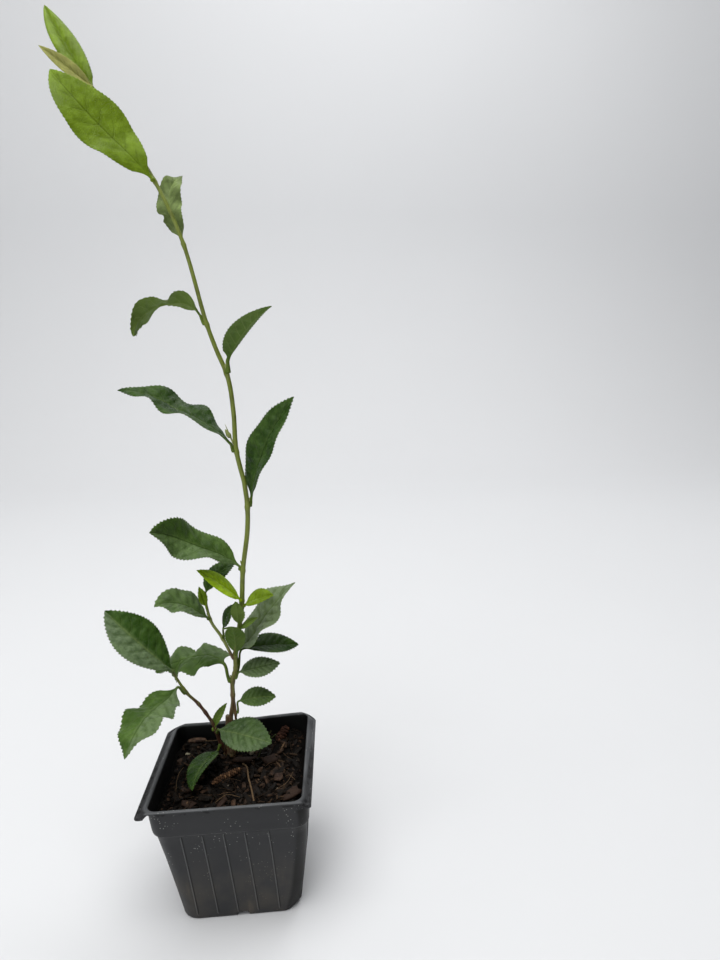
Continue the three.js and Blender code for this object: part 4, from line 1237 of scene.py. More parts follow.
def bud_shape(foot, direction, length, width):
    """A pointed bud whose two outer scales overlap."""
    left, up = side_axes(direction, unit(np.cross(direction, [0.3, 0.2, 1.0])))
    rings = []
    for t in np.linspace(0, 1, 9):
        radius = width / 2 * (math.sin(math.pi * (0.12 + 0.88 * t) ** 0.8) ** 0.8 + 0.02)
        if t > BUD_SCALES:
            radius *= 0.88
        angle = np.arange(10) * 2 * math.pi / 10
        ring = np.cos(angle)[:, None] * left * 0.8 + np.sin(angle)[:, None] * up
        rings.append(foot + direction * length * t + radius * ring)
    return loft(rings)


# Pot and potting mix

def skewed(points):
    """Moves points as the pushed pot does: its front leftwards, its side walls out, a back corner up."""
    x, y, z = points[..., 0], points[..., 1], points[..., 2]
    frontness = 0.5 - y / (2 * RIM_HALF)
    right = np.interp(z, *zip(*BULGE)) * smooth(*BULGE_GROWS, x)
    bulge = right - np.interp(z, *zip(*LEFT_BULGE)) * smooth(*LEFT_BULGE_GROWS, x)
    lift = CORNER_LIFT * smooth(*LIFT_GROWS, x) * smooth(*LIFT_GROWS, y) * (z / POT_HEIGHT) ** 2
    return np.stack([x - RIM_SKEW * (z / POT_HEIGHT) * frontness + bulge, y, z + lift], axis=-1)


def dented(points, heights, inset):
    """Flattens the foot's front right corner to a slanted facet."""
    x, y = points[:, 0], points[:, 1]
    over = np.maximum((x - y) / math.sqrt(2) - (DENT_REACH - inset + DENT_SLOPE * heights), 0) / math.sqrt(2)
    return np.column_stack([x - over, y + over, heights])


def pot_ring(z, reach, corners, inset=0, chamfer=0, corner_steps=10):
    """The pot's outline, with its half widths and corner radii at front, right, back and left.

    z is one height, or the front's and the other sides' heights. chamfer straightens the back corners.
    """
    front_z, side_z = z if isinstance(z, tuple) else (z, z)
    ring = []
    for side in range(4):
        out, after, before = reach[side], reach[(side + 1) % 4], reach[side - 1]
        r, r_before = corners[side], corners[side - 1]
        o = np.array([(0, -1), (1, 0), (0, 1), (-1, 0)][side], float)
        along = np.array([-o[1], o[0]])
        start, end = -(before - r_before), after - r
        for share in SIDE_SHARES:
            ring.append(along * (start + (end - start) * share) + o * out)
        straight = chamfer if side in (1, 2) else 0
        for t in np.linspace(0, 1, corner_steps + 1):
            s = math.sin(t * math.pi / 2) * (1 - straight) + t * straight
            c = math.cos(t * math.pi / 2) * (1 - straight) + (1 - t) * straight
            ring.append(along * (after - r + r * s) + o * (out - r + r * c))
    ring = np.array(ring)
    front = smooth(-RIM_HALF + 1, -RIM_HALF - 0.02, ring[:, 1]) * (1 - smooth(39.6, 40.5, np.abs(ring[:, 0])))
    return skewed(dented(ring, side_z + (front_z - side_z) * front, inset))


def even_ring(z, half, corner, inset=0):
    """The pot's outline where its four sides and corners are alike."""
    return pot_ring(z, [half] * 4, [corner] * 4, inset)


def flange_ring(out, z, front_out, front_z):
    """The flange stands out on the right, back and left, and only as a thin bead at the front."""
    share = out / FLANGE_WIDTH
    right, wide = RIM_HALF + out * FLANGE_RIGHT, RIM_HALF + out
    corner = RIM_CORNER + (FLANGE_CHAMFER - RIM_CORNER) * share
    end = RIM_CORNER + (FLANGE_END - RIM_CORNER) * share
    reach = [RIM_HALF + front_out, right, wide, wide]
    return pot_ring((front_z, z), reach, [end, corner, corner, end], chamfer=0.3 + 0.4 * share)


def body_half(z):
    """Half the body's width outside, at a height."""
    return BASE_HALF + (BODY_TOP_HALF - BASE_HALF) * z / BODY_TOP


def band_half(z):
    """Half the band's width outside, at a height."""
    return BAND_HALF + (z - BAND_BOTTOM) * BAND_SLOPE


def pot_rings():
    """Rings from the middle of the underside out, up the wall, over the rim and down to the floor."""
    rings = [even_ring(z, half, corner) for z, half, corner in POT_FOOT]
    for z in np.linspace(1.5, STEP_BOTTOM, 12):
        corner = BASE_CORNER + (BODY_CORNER - BASE_CORNER) * z / BODY_TOP
        rings.append(even_ring(z, body_half(z), corner))
    rings += [even_ring(z, half, BODY_CORNER) for z, half in POT_STEP]
    rings += [even_ring(z, band_half(z), BODY_CORNER - 0.5) for z in BAND_OUTSIDE]
    rings += [flange_ring(*section) for section in RIM_SECTION]
    rings += [even_ring(POT_HEIGHT - 0.1, RIM_HALF - 0.65, RIM_CORNER - 0.6),
              even_ring(POT_HEIGHT - 0.5, RIM_HALF - 1.0, RIM_CORNER - 1)]
    rings += [even_ring(z, band_half(z) - WALL, RIM_CORNER - WALL) for z in BAND_INSIDE]
    for z in np.linspace(STEP_BOTTOM, FLOOR, 6):
        rings.append(even_ring(z, body_half(z) - WALL, BODY_CORNER - WALL, WALL))
    rings.append(even_ring(FLOOR, 15, 4))
    return rings


def drain_cuts():
    """Round holes through the floor's corners, and notches under the middle of each side."""
    shapes = []
    angle = -np.arange(32) * 2 * math.pi / 32
    for sx, sy in ((1, 1), (-1, 1), (-1, -1), (1, -1)):
        ring = np.column_stack([sx * DRAIN_OFFSET + DRAIN_RADIUS * np.cos(angle),
                                sy * DRAIN_OFFSET + DRAIN_RADIUS * np.sin(angle), np.zeros(32)])
        shapes.append(loft([ring - [0, 0, 2 * FLOOR], ring + [0, 0, 2 * FLOOR]]))
    arch = np.linspace(0, math.pi, 13)
    profile = np.column_stack([NOTCH_WIDTH / 2 * np.sign(np.cos(arch)) * np.abs(np.cos(arch)) ** 0.5,
                               NOTCH_HEIGHT * np.sin(arch) ** 0.5])
    profile = np.vstack([profile, [[-NOTCH_WIDTH / 2, -2], [NOTCH_WIDTH / 2, -2]]])
    for side in range(4):
        turn = side * math.pi / 2
        inner, outer = (np.column_stack([profile[:, 0], np.full(len(profile), y), profile[:, 1]])
                        for y in (-BASE_HALF + NOTCH_DEPTH / 2, -BASE_HALF - NOTCH_DEPTH / 2))
        rot = np.array([[math.cos(turn), -math.sin(turn), 0], [math.sin(turn), math.cos(turn), 0], [0, 0, 1]])
        shapes.append(loft([inner @ rot.T, outer @ rot.T]))
    return shapes


def frontness(nodes, y, rim_half):
    """1 at the pot's front and 0 at its back."""
    return nodes.minus(0.5, nodes.math("DIVIDE", y, nodes.times(rim_half, 2)))


def rib_tree():
    """Upright ribs on four sides of a body that widens to its top and is pushed askew."""
    nodes, given = growing_tree("pot_ribs", {
        "Count": RIB_COUNT, "Pitch": RIB_PITCH * MM, "Width": 0.0013, "Proud": 0.0004,
        "Foot": RIB_FOOT * MM, "Top": RIB_TOP * MM, "Offset": RIB_OFFSET * MM,
        "Base half": BASE_HALF * MM, "Top half": BODY_TOP_HALF * MM, "Body top": BODY_TOP * MM,
        "Skew": RIM_SKEW * MM, "Rim half": RIM_HALF * MM, "Rim height": POT_HEIGHT * MM,
        "Bulge": max(out for _, out in BULGE) * MM, "Material": "Material",
    })
    span = nodes.times(nodes.minus(given["Count"], 1), given["Pitch"])
    row = nodes.output("GeometryNodeMeshLine", {
        "Count": given["Count"], "Start Location": nodes.combine(nodes.times(span, -0.5)),
        "Offset": nodes.combine(given["Pitch"])})
    upright = nodes.output("GeometryNodeCurvePrimitiveLine", {
        "Start": nodes.combine(z=given["Foot"]), "End": nodes.combine(z=given["Top"])})
    fine = nodes.output("GeometryNodeResampleCurve", {"Curve": upright, "Count": RIB_DIVISIONS})
    ribs = nodes.output("GeometryNodeInstanceOnPoints", {"Points": row, "Instance": fine})
    ribs = nodes.output("GeometryNodeRealizeInstances", {0: ribs})
    x, _, z = nodes.parts(nodes.output("GeometryNodeInputPosition"))
    share = nodes.math("DIVIDE", z, given["Body top"])
    widening = nodes.minus(given["Top half"], given["Base half"])
    half = nodes.math("MULTIPLY_ADD", share, widening, given["Base half"])
    radius = nodes.times(given["Width"], 0.5)
    out = nodes.plus(half, nodes.minus(given["Proud"], radius))
    front = nodes.combine(nodes.plus(x, given["Offset"]), nodes.times(out, -1.0), z)
    ribs = nodes.output("GeometryNodeSetPosition", {"Geometry": ribs, "Position": front})
    sides = nodes.add("GeometryNodeJoinGeometry")
    for side in range(4):
        turned = nodes.output("GeometryNodeTransform", {
            "Geometry": ribs, "Rotation": (0, 0, side * math.pi / 2)})
        nodes.tree.links.new(turned, sides.inputs[0])

    x, y, z = nodes.parts(nodes.output("GeometryNodeInputPosition"))
    push = nodes.times(nodes.math("DIVIDE", z, given["Rim height"]), frontness(nodes, y, given["Rim half"]))
    push = nodes.times(nodes.times(push, given["Skew"]), -1.0)
    rise = nodes.output("ShaderNodeMapRange", {
        "Value": z, "From Max": RIB_BULGE_TOP * MM, "To Min": RIB_BULGE_FOOT, "To Max": 1.0})
    grows = nodes.ramp(x, *(place * MM for place in BULGE_GROWS))
    push = nodes.plus(push, nodes.times(grows, nodes.times(rise, given["Bulge"])))
    askew = nodes.output("GeometryNodeSetPosition", {
        "Geometry": sides.outputs[0], "Offset": nodes.combine(push)})
    end = nodes.math("MINIMUM", nodes.minus(z, given["Foot"]), nodes.minus(given["Top"], z))
    taper = nodes.ramp(end, 0.0, RIB_TAPER * MM, RIB_END, 1.0)
    ring = nodes.output("GeometryNodeCurvePrimitiveCircle", {"Resolution": RIB_SIDES, "Radius": 1.0})
    tube = nodes.output("GeometryNodeCurveToMesh", {
        0: askew, 1: ring, "Scale": nodes.times(radius, taper), "Fill Caps": True})
    return close_tree(nodes, tube, given["Material"])


def soil_height(x, y):
    """Height of the mix's lumps, none on the flat patch round the plant's foot."""
    foot = STEMS["trunk"][0][0]
    away = np.hypot(x - foot[0], y - foot[1])
    lumps = np.sin(x * 0.31 + 1.3) * np.cos(y * 0.27) + 0.6 * np.sin(x * 0.17 - y * 0.4)
    banked = SOIL_BANK * smooth(5, 38, np.asarray(x)) * smooth(0, 36, np.asarray(y))
    return SOIL_LEVEL + SOIL_LUMP * lumps * smooth(SOIL_FLAT, 3 * SOIL_FLAT, away) + banked


def mix_bed_shape():
    """The mix: a lumpy top that sinks towards the pot's wall, and plain sides and bottom."""
    inset = WALL - SOIL_CLEAR
    rings = [even_ring(FLOOR + SOIL_CLEAR, body_half(FLOOR) - inset, BASE_CORNER - inset, inset + 0.1),
             even_ring(BODY_TOP, BODY_TOP_HALF - inset, BODY_CORNER - inset)]
    edge = even_ring(SOIL_LEVEL, band_half(SOIL_LEVEL) - inset, RIM_CORNER - inset)
    middle = np.array([*STEMS["trunk"][0][0][:2], SOIL_LEVEL])
    for share in np.linspace(1, 0.012, SOIL_RINGS):
        ring = middle + (edge - middle) * share
        rough = np.array([noise.fractal(Vector((x * 0.16, y * 0.16, 3)), 0.7, 2.1, 5) for x, y, _ in ring])
        sunk = SOIL_SINK * (1 - smooth(0, 0.16, 1 - share))
        ring[:, 2] = soil_height(ring[:, 0], ring[:, 1]) + SOIL_ROUGH * rough - 0.6 - sunk
        rings.append(ring)
    return loft(rings)


def chunk_shape(seed, length, width, thick, sides=9):
    """A small angular lump or flake of a few dozen faces."""
    chance = random_numbers(seed)
    angle = np.arange(sides) * 2 * math.pi / sides
    reach = np.array([0.72 + 0.5 * next(chance) for _ in angle])
    across, along = (np.sign(w) * np.abs(w) ** 0.65 for w in (np.sin(angle), np.cos(angle)))
    outline = np.column_stack([length / 2 * along * reach, width / 2 * across * reach])
    rings = []
    for z, share in ((-0.5, 0.72), (-0.32, 1), (0.28, 0.96), (0.5, 0.7)):
        lift = np.array([0.3 * (next(chance) - 0.5) for _ in angle])
        rings.append(np.column_stack([outline * share, thick * (z + lift)]))
    return loft(rings)


def strand_shape(seed, length, radius, bend=0.35):
    """A thin bent fibre with three sides."""
    chance = random_numbers(seed)
    a, b = (next(chance) * 6 for _ in range(2))
    rings = []
    for t in np.linspace(-0.5, 0.5, 9):
        bent, wavy = bend * length * 0.3 * math.sin(3 * t + a), 0.08 * length * math.sin(4 * t + b)
        middle = np.array([t * length, bent, wavy])
        angle = np.arange(3) * 2 * math.pi / 3
        spread = radius * (1 - 0.6 * abs(2 * t) ** 2)
        rings.append(middle + spread * np.column_stack([np.zeros(3), np.cos(angle), np.sin(angle)]))
    return loft(rings)


def scatter_tree():
    """Copies of the given shapes dropped on upward faces, turned and sized by chance."""
    foot_x, foot_y = (c * MM for c in STEMS["trunk"][0][0][:2])
    nodes, given = growing_tree("scattered_bits", {
        "Shapes": "Collection", "Density": 20000.0, "Smallest": 0.7, "Largest": 1.3, "Tilt": 0.5,
        "Lift": 0.0, "Clear": 0.003, "Reach": 0.034, "Skew": SOIL_SKEW * MM, "Bulge": SOIL_BULGE * MM,
        "Rim half": RIM_HALF * MM, "Foot x": foot_x, "Foot y": foot_y, "Seed": 1, "Material": "Material",
    })
    x, y, _ = nodes.parts(nodes.output("GeometryNodeInputPosition"))
    upward = nodes.math("GREATER_THAN", nodes.parts(nodes.output("GeometryNodeInputNormal"))[2], 0.5)
    dx, dy = nodes.minus(x, given["Foot x"]), nodes.minus(y, given["Foot y"])
    away = nodes.math("SQRT", nodes.plus(nodes.times(dx, dx), nodes.times(dy, dy)))
    chosen = nodes.times(upward, nodes.math("GREATER_THAN", away, given["Clear"]))
    shift = nodes.times(given["Skew"], frontness(nodes, y, given["Rim half"]))
    straight = nodes.math("ABSOLUTE", nodes.minus(x, nodes.minus(given["Bulge"], shift)))
    farthest = nodes.math("MAXIMUM", straight, nodes.math("ABSOLUTE", y))
    chosen = nodes.times(chosen, nodes.math("LESS_THAN", farthest, given["Reach"]))
    spots = nodes.output("GeometryNodeDistributePointsOnFaces", {
        "Mesh": given["Geometry"], "Selection": chosen, "Density": given["Density"], "Seed": given["Seed"]})
    shapes = nodes.output("GeometryNodeCollectionInfo", {
        "Collection": given["Shapes"], "Separate Children": True, "Reset Children": True})

    def chance(kind, low, high, offset):
        """A random value from low to high for each spot, with a seed of its own."""
        first, given_at = {"FLOAT_VECTOR": (0, 0), "FLOAT": (2, 1), "INT": (4, 2)}[kind]
        seed = nodes.plus(given["Seed"], offset)
        inputs = {first: low, first + 1: high, "Seed": seed}
        return nodes.add("FunctionNodeRandomValue", inputs, data_type=kind).outputs[given_at]

    turn_seed, size_seed, pick_seed = BIT_SEEDS
    tilt, down = given["Tilt"], nodes.times(given["Tilt"], -1.0)
    lowest, highest = nodes.combine(down, down), nodes.combine(tilt, tilt, 2 * math.pi)
    turn = chance("FLOAT_VECTOR", lowest, highest, turn_seed)
    size = chance("FLOAT", given["Smallest"], given["Largest"], size_seed)
    pick = chance("INT", 0, BIT_SHAPES - 1, pick_seed)
    copies = nodes.output("GeometryNodeInstanceOnPoints", {
        "Points": spots, "Instance": shapes, "Pick Instance": True, "Instance Index": pick,
        "Rotation": turn, "Scale": size})
    moved = nodes.output("GeometryNodeTranslateInstances", {
        "Instances": copies, "Translation": nodes.combine(z=given["Lift"]), "Local Space": False})
    return close_tree(nodes, moved, given["Material"], smooth_shading=False)


def scales_tree():
    """Overlapping scales set in a spiral along a line, as on a catkin or a cone."""
    nodes, given = growing_tree("scale_row", {
        "Count": 60, "Radius": 0.001, "Scale length": 0.0012, "Turn": 2.4, "Material": "Material",
    })
    line = nodes.output("GeometryNodeMeshToCurve", {0: given["Geometry"]})
    points = nodes.add("GeometryNodeCurveToPoints", {"Curve": line, "Count": given["Count"]})
    index = nodes.output("GeometryNodeInputIndex")
    angle = nodes.times(index, given["Turn"])
    spin = nodes.output("FunctionNodeEulerToRotation", {0: nodes.combine(z=angle)})
    turn = nodes.add("FunctionNodeRotateRotation", {0: points.outputs["Rotation"]}, rotation_space="LOCAL")
    nodes.feed(turn.inputs[1], spin)
    share = nodes.math("DIVIDE", index, given["Count"])
    body = nodes.ramp(nodes.math("PINGPONG", share, 0.5), 0.0, 0.2, 0.55, 1.0)
    bead = nodes.output("GeometryNodeMeshIcoSphere", {"Radius": 0.5, "Subdivisions": 2})
    scale = nodes.output("GeometryNodeTransform", {
        "Geometry": bead, "Translation": (0.62, 0, 0.0), "Rotation": (0, 0.6, 0)})
    wide = nodes.times(given["Radius"], body)
    size = nodes.combine(wide, nodes.times(wide, 1.25), given["Scale length"])
    copies = nodes.output("GeometryNodeInstanceOnPoints", {
        "Points": points.outputs[0], "Instance": scale, "Rotation": turn.outputs[0], "Scale": size})
    return close_tree(nodes, copies, given["Material"])


def path_object(name, path):
    """An edged line through points in millimetres."""
    return line_object(name, path, [(i, i + 1) for i in range(len(path) - 1)])


# What lies on the mix, as paths in millimetres; heights are above the mix's level
CATKIN_PATH = [(-14.8, -10.5, 1.4), (-9, -6, 1.7), (-4, -2.5, 1.7), (0.5, 0.5, 1.5)]
CONE_PATH = [(21.5, 25.5, 1.6), (24.5, 31, 2.4), (27, 36, 2.2)]
STICK_PATH = [(1.3, 6, 1.9), (3.8, 1, 2.2), (5, -7, 1.9), (7, -18, 1.8), (8.6, -27, 1.3)]
HAIRS = [
    [(-32.5, 8, 0.8), (-34, 0, 2.4), (-34.5, -8, 2.6), (-34, -15, 0.8)],
    [(25.4, -7.9, 0.9), (28, -9.5, 2.2), (31, -12, 1.0)],
    [(30, -4, 1.2), (26, -15, 2.6), (20, -19, 1.2)],
    [(-20, 5, 1.1), (-23, 0, 1.6), (-28, -1, 0.9)],
    [(-12, -26, 1.2), (-6, -22, 2.4), (1, -24, 1.2)],
    [(-10, 33, 1.2), (-18, 30, 2.8), (-27, 32, 1.0)],
]
# The mossy twig that leans behind the front leaf
MOSS_TWIG = [
    [(10, 12, 0.5), (14, 15.5, 8), (18, 18, 13.5)],
    [(13, 14.5, 6), (12, 16.5, 9.5), (11.5, 18, 12)],
    [(15.5, 16.5, 10), (18.5, 15.5, 11.5), (20.5, 15, 14)],
]
# Flat chips: middle, size, seed and turn
FLAKES = [
    ((2.6, 10.2, 1.9), (13, 4.4, 1.3), 71, -2), ((16.8, 9.1, 1.8), (9.5, 8, 1.6), 72, 30),
    ((28.5, -23.5, 1.6), (12.5, 6.5, 1.5), 73, 38), ((-26.4, -25.2, 1.5), (8.5, 5.5, 1.2), 74, -25),
    ((-27, 32, 1.4), (11, 4, 1.4), 75, 6), ((-25, -14, 1.6), (10, 3.2, 1.2), 76, 34),
    ((22, -8, 1.5), (8, 5.5, 1.4), 77, 80), ((-8, -26, 1.4), (9, 3.6, 1.3), 78, 60),
]
# Lumps, given in the same way
LUMPS = [((6.2, 15.8, 1.9), (3.0, 2.5, 2.2), 61, 0), ((-31.5, 19.5, 1.4), (2.6, 2.4, 2.0), 62, 0)]
# The litter's finishes: dark and pale tone, scale of the blotches and roughness
LITTER_TONES = {
    "rust": ((66, 46, 32), (150, 114, 82), 500, 0.75),
    "russet": ((46, 27, 20), (112, 76, 58), 500, 0.8),
    "straw": ((92, 74, 54), (158, 136, 108), 500, 0.8),
    "moss": ((46, 50, 26), (104, 108, 74), 600, 0.9),
    "perlite": ((132, 126, 106), (196, 192, 176), 500, 0.8),
    "flake": ((42, 30, 24), (102, 80, 64), 260, 0.65),
}
# Scaly pieces: path, finish, number of scales, radius and a scale's length in metres
SCALY = {
    "litter_catkin": (CATKIN_PATH, "rust", 62, 0.0018, 0.0011),
    "litter_cone": (CONE_PATH, "russet", 30, 0.0026, 0.0017),
}
SCALE_TURN = 2.4
# Thin pieces: paths, radius and finish
THIN = {
    "litter_stick": ([STICK_PATH], 0.48, "straw"), "litter_hairs": (HAIRS, 0.13, "straw"),
    "litter_twig": (MOSS_TWIG, 0.42, "moss"),
}
# Chunky pieces: what lies where, the sides of each chunk and finish
CHUNKY = {"litter_lumps": (LUMPS, 10, "perlite"), "litter_flakes": (FLAKES, 11, "flake")}


def on_mix(path):
    """A path with its heights measured from the mix's surface."""
    return [(x, y, float(soil_height(x, y)) + z) for x, y, z in path]


def chunks_shape(rows, sides):
    """Chunks that lie on the mix, each with its middle, size, seed and turn."""
    shapes = []
    for middle, size, seed, turn in rows:
        chunk = chunk_shape(seed, *size, sides)
        c, s = math.cos(math.radians(turn)), math.sin(math.radians(turn))
        chunk.points = chunk.points @ np.array([[c, s, 0], [-s, c, 0], [0, 0, 1]]) + on_mix([middle])[0]
        shapes.append(chunk)
    return join_shapes(shapes)


# Sizes and colours that a user would change

def length_property(name, description, millimetres):
    """A length that a user can set, with its default."""
    return FloatProperty(name=name, description=description, default=millimetres * MM, min=0,
                         unit="LENGTH", subtype="DISTANCE", precision=5)


def density_property(name, count):
    """How densely something lies, with its default."""
    return FloatProperty(name=name, description=name + " to each square metre of mix", default=count, min=0)


def colour_property(name, description, *channels):
    """A colour that a user can set, with its default as a screen shows it."""
    return FloatVectorProperty(name=name, description=description, default=srgb(*channels),
                               size=3, min=0, max=1, subtype="COLOR")


class TeaPlantSizes(bpy.types.PropertyGroup):
    """Sizes of the plant's fine detail."""
    tooth_pitch: length_property("Tooth pitch", "Distance between teeth along a leaf's margin", 1.75)
    tooth_height: length_property("Tooth height", "How far a tooth stands out of the margin", 0.85)
    blade_thickness: length_property("Blade thickness", "Thickness of a leaf beside its midrib", 0.36)
    quilting: length_property("Quilting", "How far a blade rises between its side veins", 0.7)
    rib_width: length_property("Rib width", "Width of the pot's upright ribs", 1.3)
    rib_proud: length_property("Rib height", "How far a rib stands out of the pot's wall", 0.4)
    bark_relief: length_property("Bark relief", "Depth of the bark's furrows", 0.16)
    chips: density_property("Chips", 62000)
    crumbs: density_property("Crumbs", 230000)
    fibres: density_property("Fibres", 30000)
    seed: IntProperty(name="Seed", description="Seed of what lies scattered on the mix", default=4, min=0)


class TeaPlantColours(bpy.types.PropertyGroup):
    """Colours of the plant, its pot and the studio."""
    pot: colour_property("Pot", "Moulded plastic", 39, 40, 42)
    dust: colour_property("Dust", "Dried mix on the pot", 104, 96, 84)
    # The mix, chip and fibre tones are their own wet colours, made darker too as painted shade inside the pot
    mix: colour_property("Mix", "Wet bark mix", 11, 8, 5)
    chip: colour_property("Chip", "Bark chips", 80, 60, 46)
    fibre: colour_property("Fibre", "Fibres and splinters", 104, 82, 62)
    bark: colour_property("Bark", "Old bark at the trunk's foot", 98, 74, 50)
    green_stem: colour_property("Green stem", "Skin of the leader", 112, 124, 46)
    twig: colour_property("Twig", "Red-brown young bark", 78, 46, 34)
    dark: colour_property("Dark leaf", "Old leaves", 40, 74, 9)
    mid: colour_property("Middle leaf", "Leaves of a middle green", 64, 96, 24)
    light: colour_property("Light leaf", "Small pale leaves", 88, 114, 38)
    pale: colour_property("Pale leaf", "Leaf that shows a pale side", 112, 130, 74)
    lime: colour_property("Lime leaf", "Youngest leaves", 166, 202, 20)
    lime_deep: colour_property("Deep lime leaf", "Large young leaf", 118, 146, 14)
    tip: colour_property("Tip leaf", "Reddish leaf at the very top", 174, 174, 96)
    floor: colour_property("Floor", "Studio floor and backdrop", 212, 213, 215)


# Leaf looks: the colour they take, how rough their upper face is and how pale their midrib is (below zero,
# painted shade in its groove)
LOOKS = {
    "dark": ("dark", 0.32, -0.5), "ribbed": ("dark", 0.32, 0.22), "mid": ("mid", 0.36, -0.5),
    "mid_ribbed": ("mid", 0.38, 0.3), "light": ("light", 0.42, 0.2),
    "light_dark_rib": ("light", 0.42, -0.3),
    "pale": ("pale", 0.5, 0.2), "lime": ("lime", 0.42, -0.5), "lime_deep": ("lime_deep", 0.42, -0.6),
    "tip": ("tip", 0.44, -0.2),
}
YOUNG_LOOKS = ("lime", "lime_deep", "tip")


def leaf_material(look, colours):
    """The finish of a leaf's look, made once."""
    name = "leaf_" + look
    if name in bpy.data.materials:
        return bpy.data.materials[name]
    colour, gloss, rib = LOOKS[look]
    return leaf_finish(name, getattr(colours, colour), gloss, rib, look in YOUNG_LOOKS)


# Operators

class BuildPot(bpy.types.Operator):
    """Builds the pot's shell and its ribs."""
    bl_idname = "tea_plant.build_pot"
    bl_label = "Build Pot"

    def execute(self, context):
        sizes, colours = context.scene.tea_sizes, context.scene.tea_colours
        plastic = plastic_finish("pot_plastic", colours)
        shell = mesh_object("pot_shell", loft(pot_rings()))
        cuts = mesh_object("pot_cuts", join_shapes(drain_cuts()))
        cut = shell.modifiers.new("cut", "BOOLEAN")
        cut.operation = "DIFFERENCE"
        cut.solver = "EXACT"
        cut.object = cuts
        bake_modifiers(shell)
        bpy.data.objects.remove(cuts)
        shell.data.shade_smooth()
        shell.data.set_sharp_from_angle(angle=math.radians(SHARP_EDGE))
        finish_piece(shell, plastic, "pot", "pot")
        ribs = path_object("pot_ribs", [(0, 0, 0), (0, 0, 1)])
        # The ribs' paler copy of the plastic is painted highlight
        highlit = plastic_finish("pot_rib_plastic", colours, 0.3)
        grow(ribs, rib_tree(), material=highlit, width=sizes.rib_width, proud=sizes.rib_proud)
        finish_piece(ribs, highlit, "pot")
        return {"FINISHED"}


class BuildMix(bpy.types.Operator):
    """Builds the potting mix and the chips, crumbs, fibres and grit scattered on it."""
    bl_idname = "tea_plant.build_mix"
    bl_label = "Build Potting Mix"

    def execute(self, context):
        sizes, colours = context.scene.tea_sizes, context.scene.tea_colours
        mix, chip, fibre = colours.mix, colours.chip, colours.fibre
        bed = mesh_object("mix_bed", mix_bed_shape())
        tree = scatter_tree()
        crumb, grit = tinted(mix, BLACK, 0.5), srgb(120, 112, 98)
        splinter, strand = tinted(fibre, BLACK, 0.8), tinted(fibre, BLACK, 0.85)
        layers = [
            ("mix_crumbs", mix_finish("mix_crumb", crumb, chip, 300), chunk_shape, 0, (2.0, 1.6, 1.1, 7),
             sizes.crumbs, (0.4, 1.3, 1.2, 0.0002, 0.0022, 0.0368)),
            ("mix_chips", mix_finish("mix_chip", mix, chip, 160, 0.6), chunk_shape, 10, (8.0, 2.9, 1.0),
             sizes.chips, (0.45, 1.25, 0.6, 0.0006, 0.005, 0.0335)),
            ("mix_splinters", mix_finish("mix_splinter", splinter, fibre, 240), chunk_shape, 20,
             (8.5, 1.3, 0.6, 8), sizes.fibres * 0.3, (0.5, 1.2, 0.45, 0.0011, 0.005, 0.032)),
            ("mix_fibres", mix_finish("mix_fibre", strand, fibre, 400), strand_shape, 30, (9.0, 0.13),
             sizes.fibres, (0.5, 1.4, 0.4, 0.0011, 0.004, 0.032)),
            ("mix_grit", mix_finish("mix_grit", grit, srgb(190, 184, 170), 300, 0.7), chunk_shape, 40,
             (1.1, 0.9, 0.8, 7), sizes.crumbs * 0.012, (0.35, 1.1, 1.5, 0.0008, 0.004, 0.035)),
        ]
        for i, (name, material, shape_of, first, size, density, spread) in enumerate(layers):
            folder = bpy.data.collections.new(name + "_shapes")
            for k in range(BIT_SHAPES):
                made = mesh_object(f"{name}_{k}", shape_of(first + k, *size))
                context.scene.collection.objects.unlink(made)
                folder.objects.link(made)
            layer = placed(name, bed.data.copy())
            grow(layer, tree, shapes=folder, material=material, seed=sizes.seed + i, density=density,
                 **dict(zip(SPREAD, spread)))
            for made in list(folder.objects):
                bpy.data.objects.remove(made)
            bpy.data.collections.remove(folder)
            finish_piece(layer, material, "potting_mix")
        # The bed's skin and the crumbs are darker than the mix, partly painted shade inside the pot
        bed_skin = mix_finish("mix_bed", tinted(mix, BLACK, 0.45), mix, 200)
        finish_piece(bed, bed_skin, "potting_mix", "potting_mix")
        return {"FINISHED"}


class BuildLitter(bpy.types.Operator):
    """Builds the catkin, the cone piece, the bent stick, the hairs and the larger lumps on the mix."""
    bl_idname = "tea_plant.build_litter"
    bl_label = "Build Litter"

    def execute(self, context):
        skins = {name: mix_finish("litter_" + name, srgb(*dark), srgb(*pale), scale, roughness)
                 for name, (dark, pale, scale, roughness) in LITTER_TONES.items()}
        scales, thin = scales_tree(), stem_tree()
        for name, (path, skin, count, radius, length) in SCALY.items():
            piece = path_object(name, on_mix(path))
            grow(piece, scales, material=skins[skin], count=count, radius=radius, scale_length=length,
                 turn=SCALE_TURN)
            finish_piece(piece, skins[skin], "potting_mix")
        for name, (paths, radius, skin) in THIN.items():
            piece = stem_lines(name, [(Stem(on_mix(path), [radius] * len(path)), [], 0, 1) for path in paths])
            grow(piece, thin, material=skins[skin], sides=8, relief=radius * 0.0006, grain=1500.0)
            finish_piece(piece, skins[skin], "potting_mix")
        for name, (rows, sides, skin) in CHUNKY.items():
            finish_piece(mesh_object(name, chunks_shape(rows, sides)), skins[skin], "potting_mix")
        return {"FINISHED"}


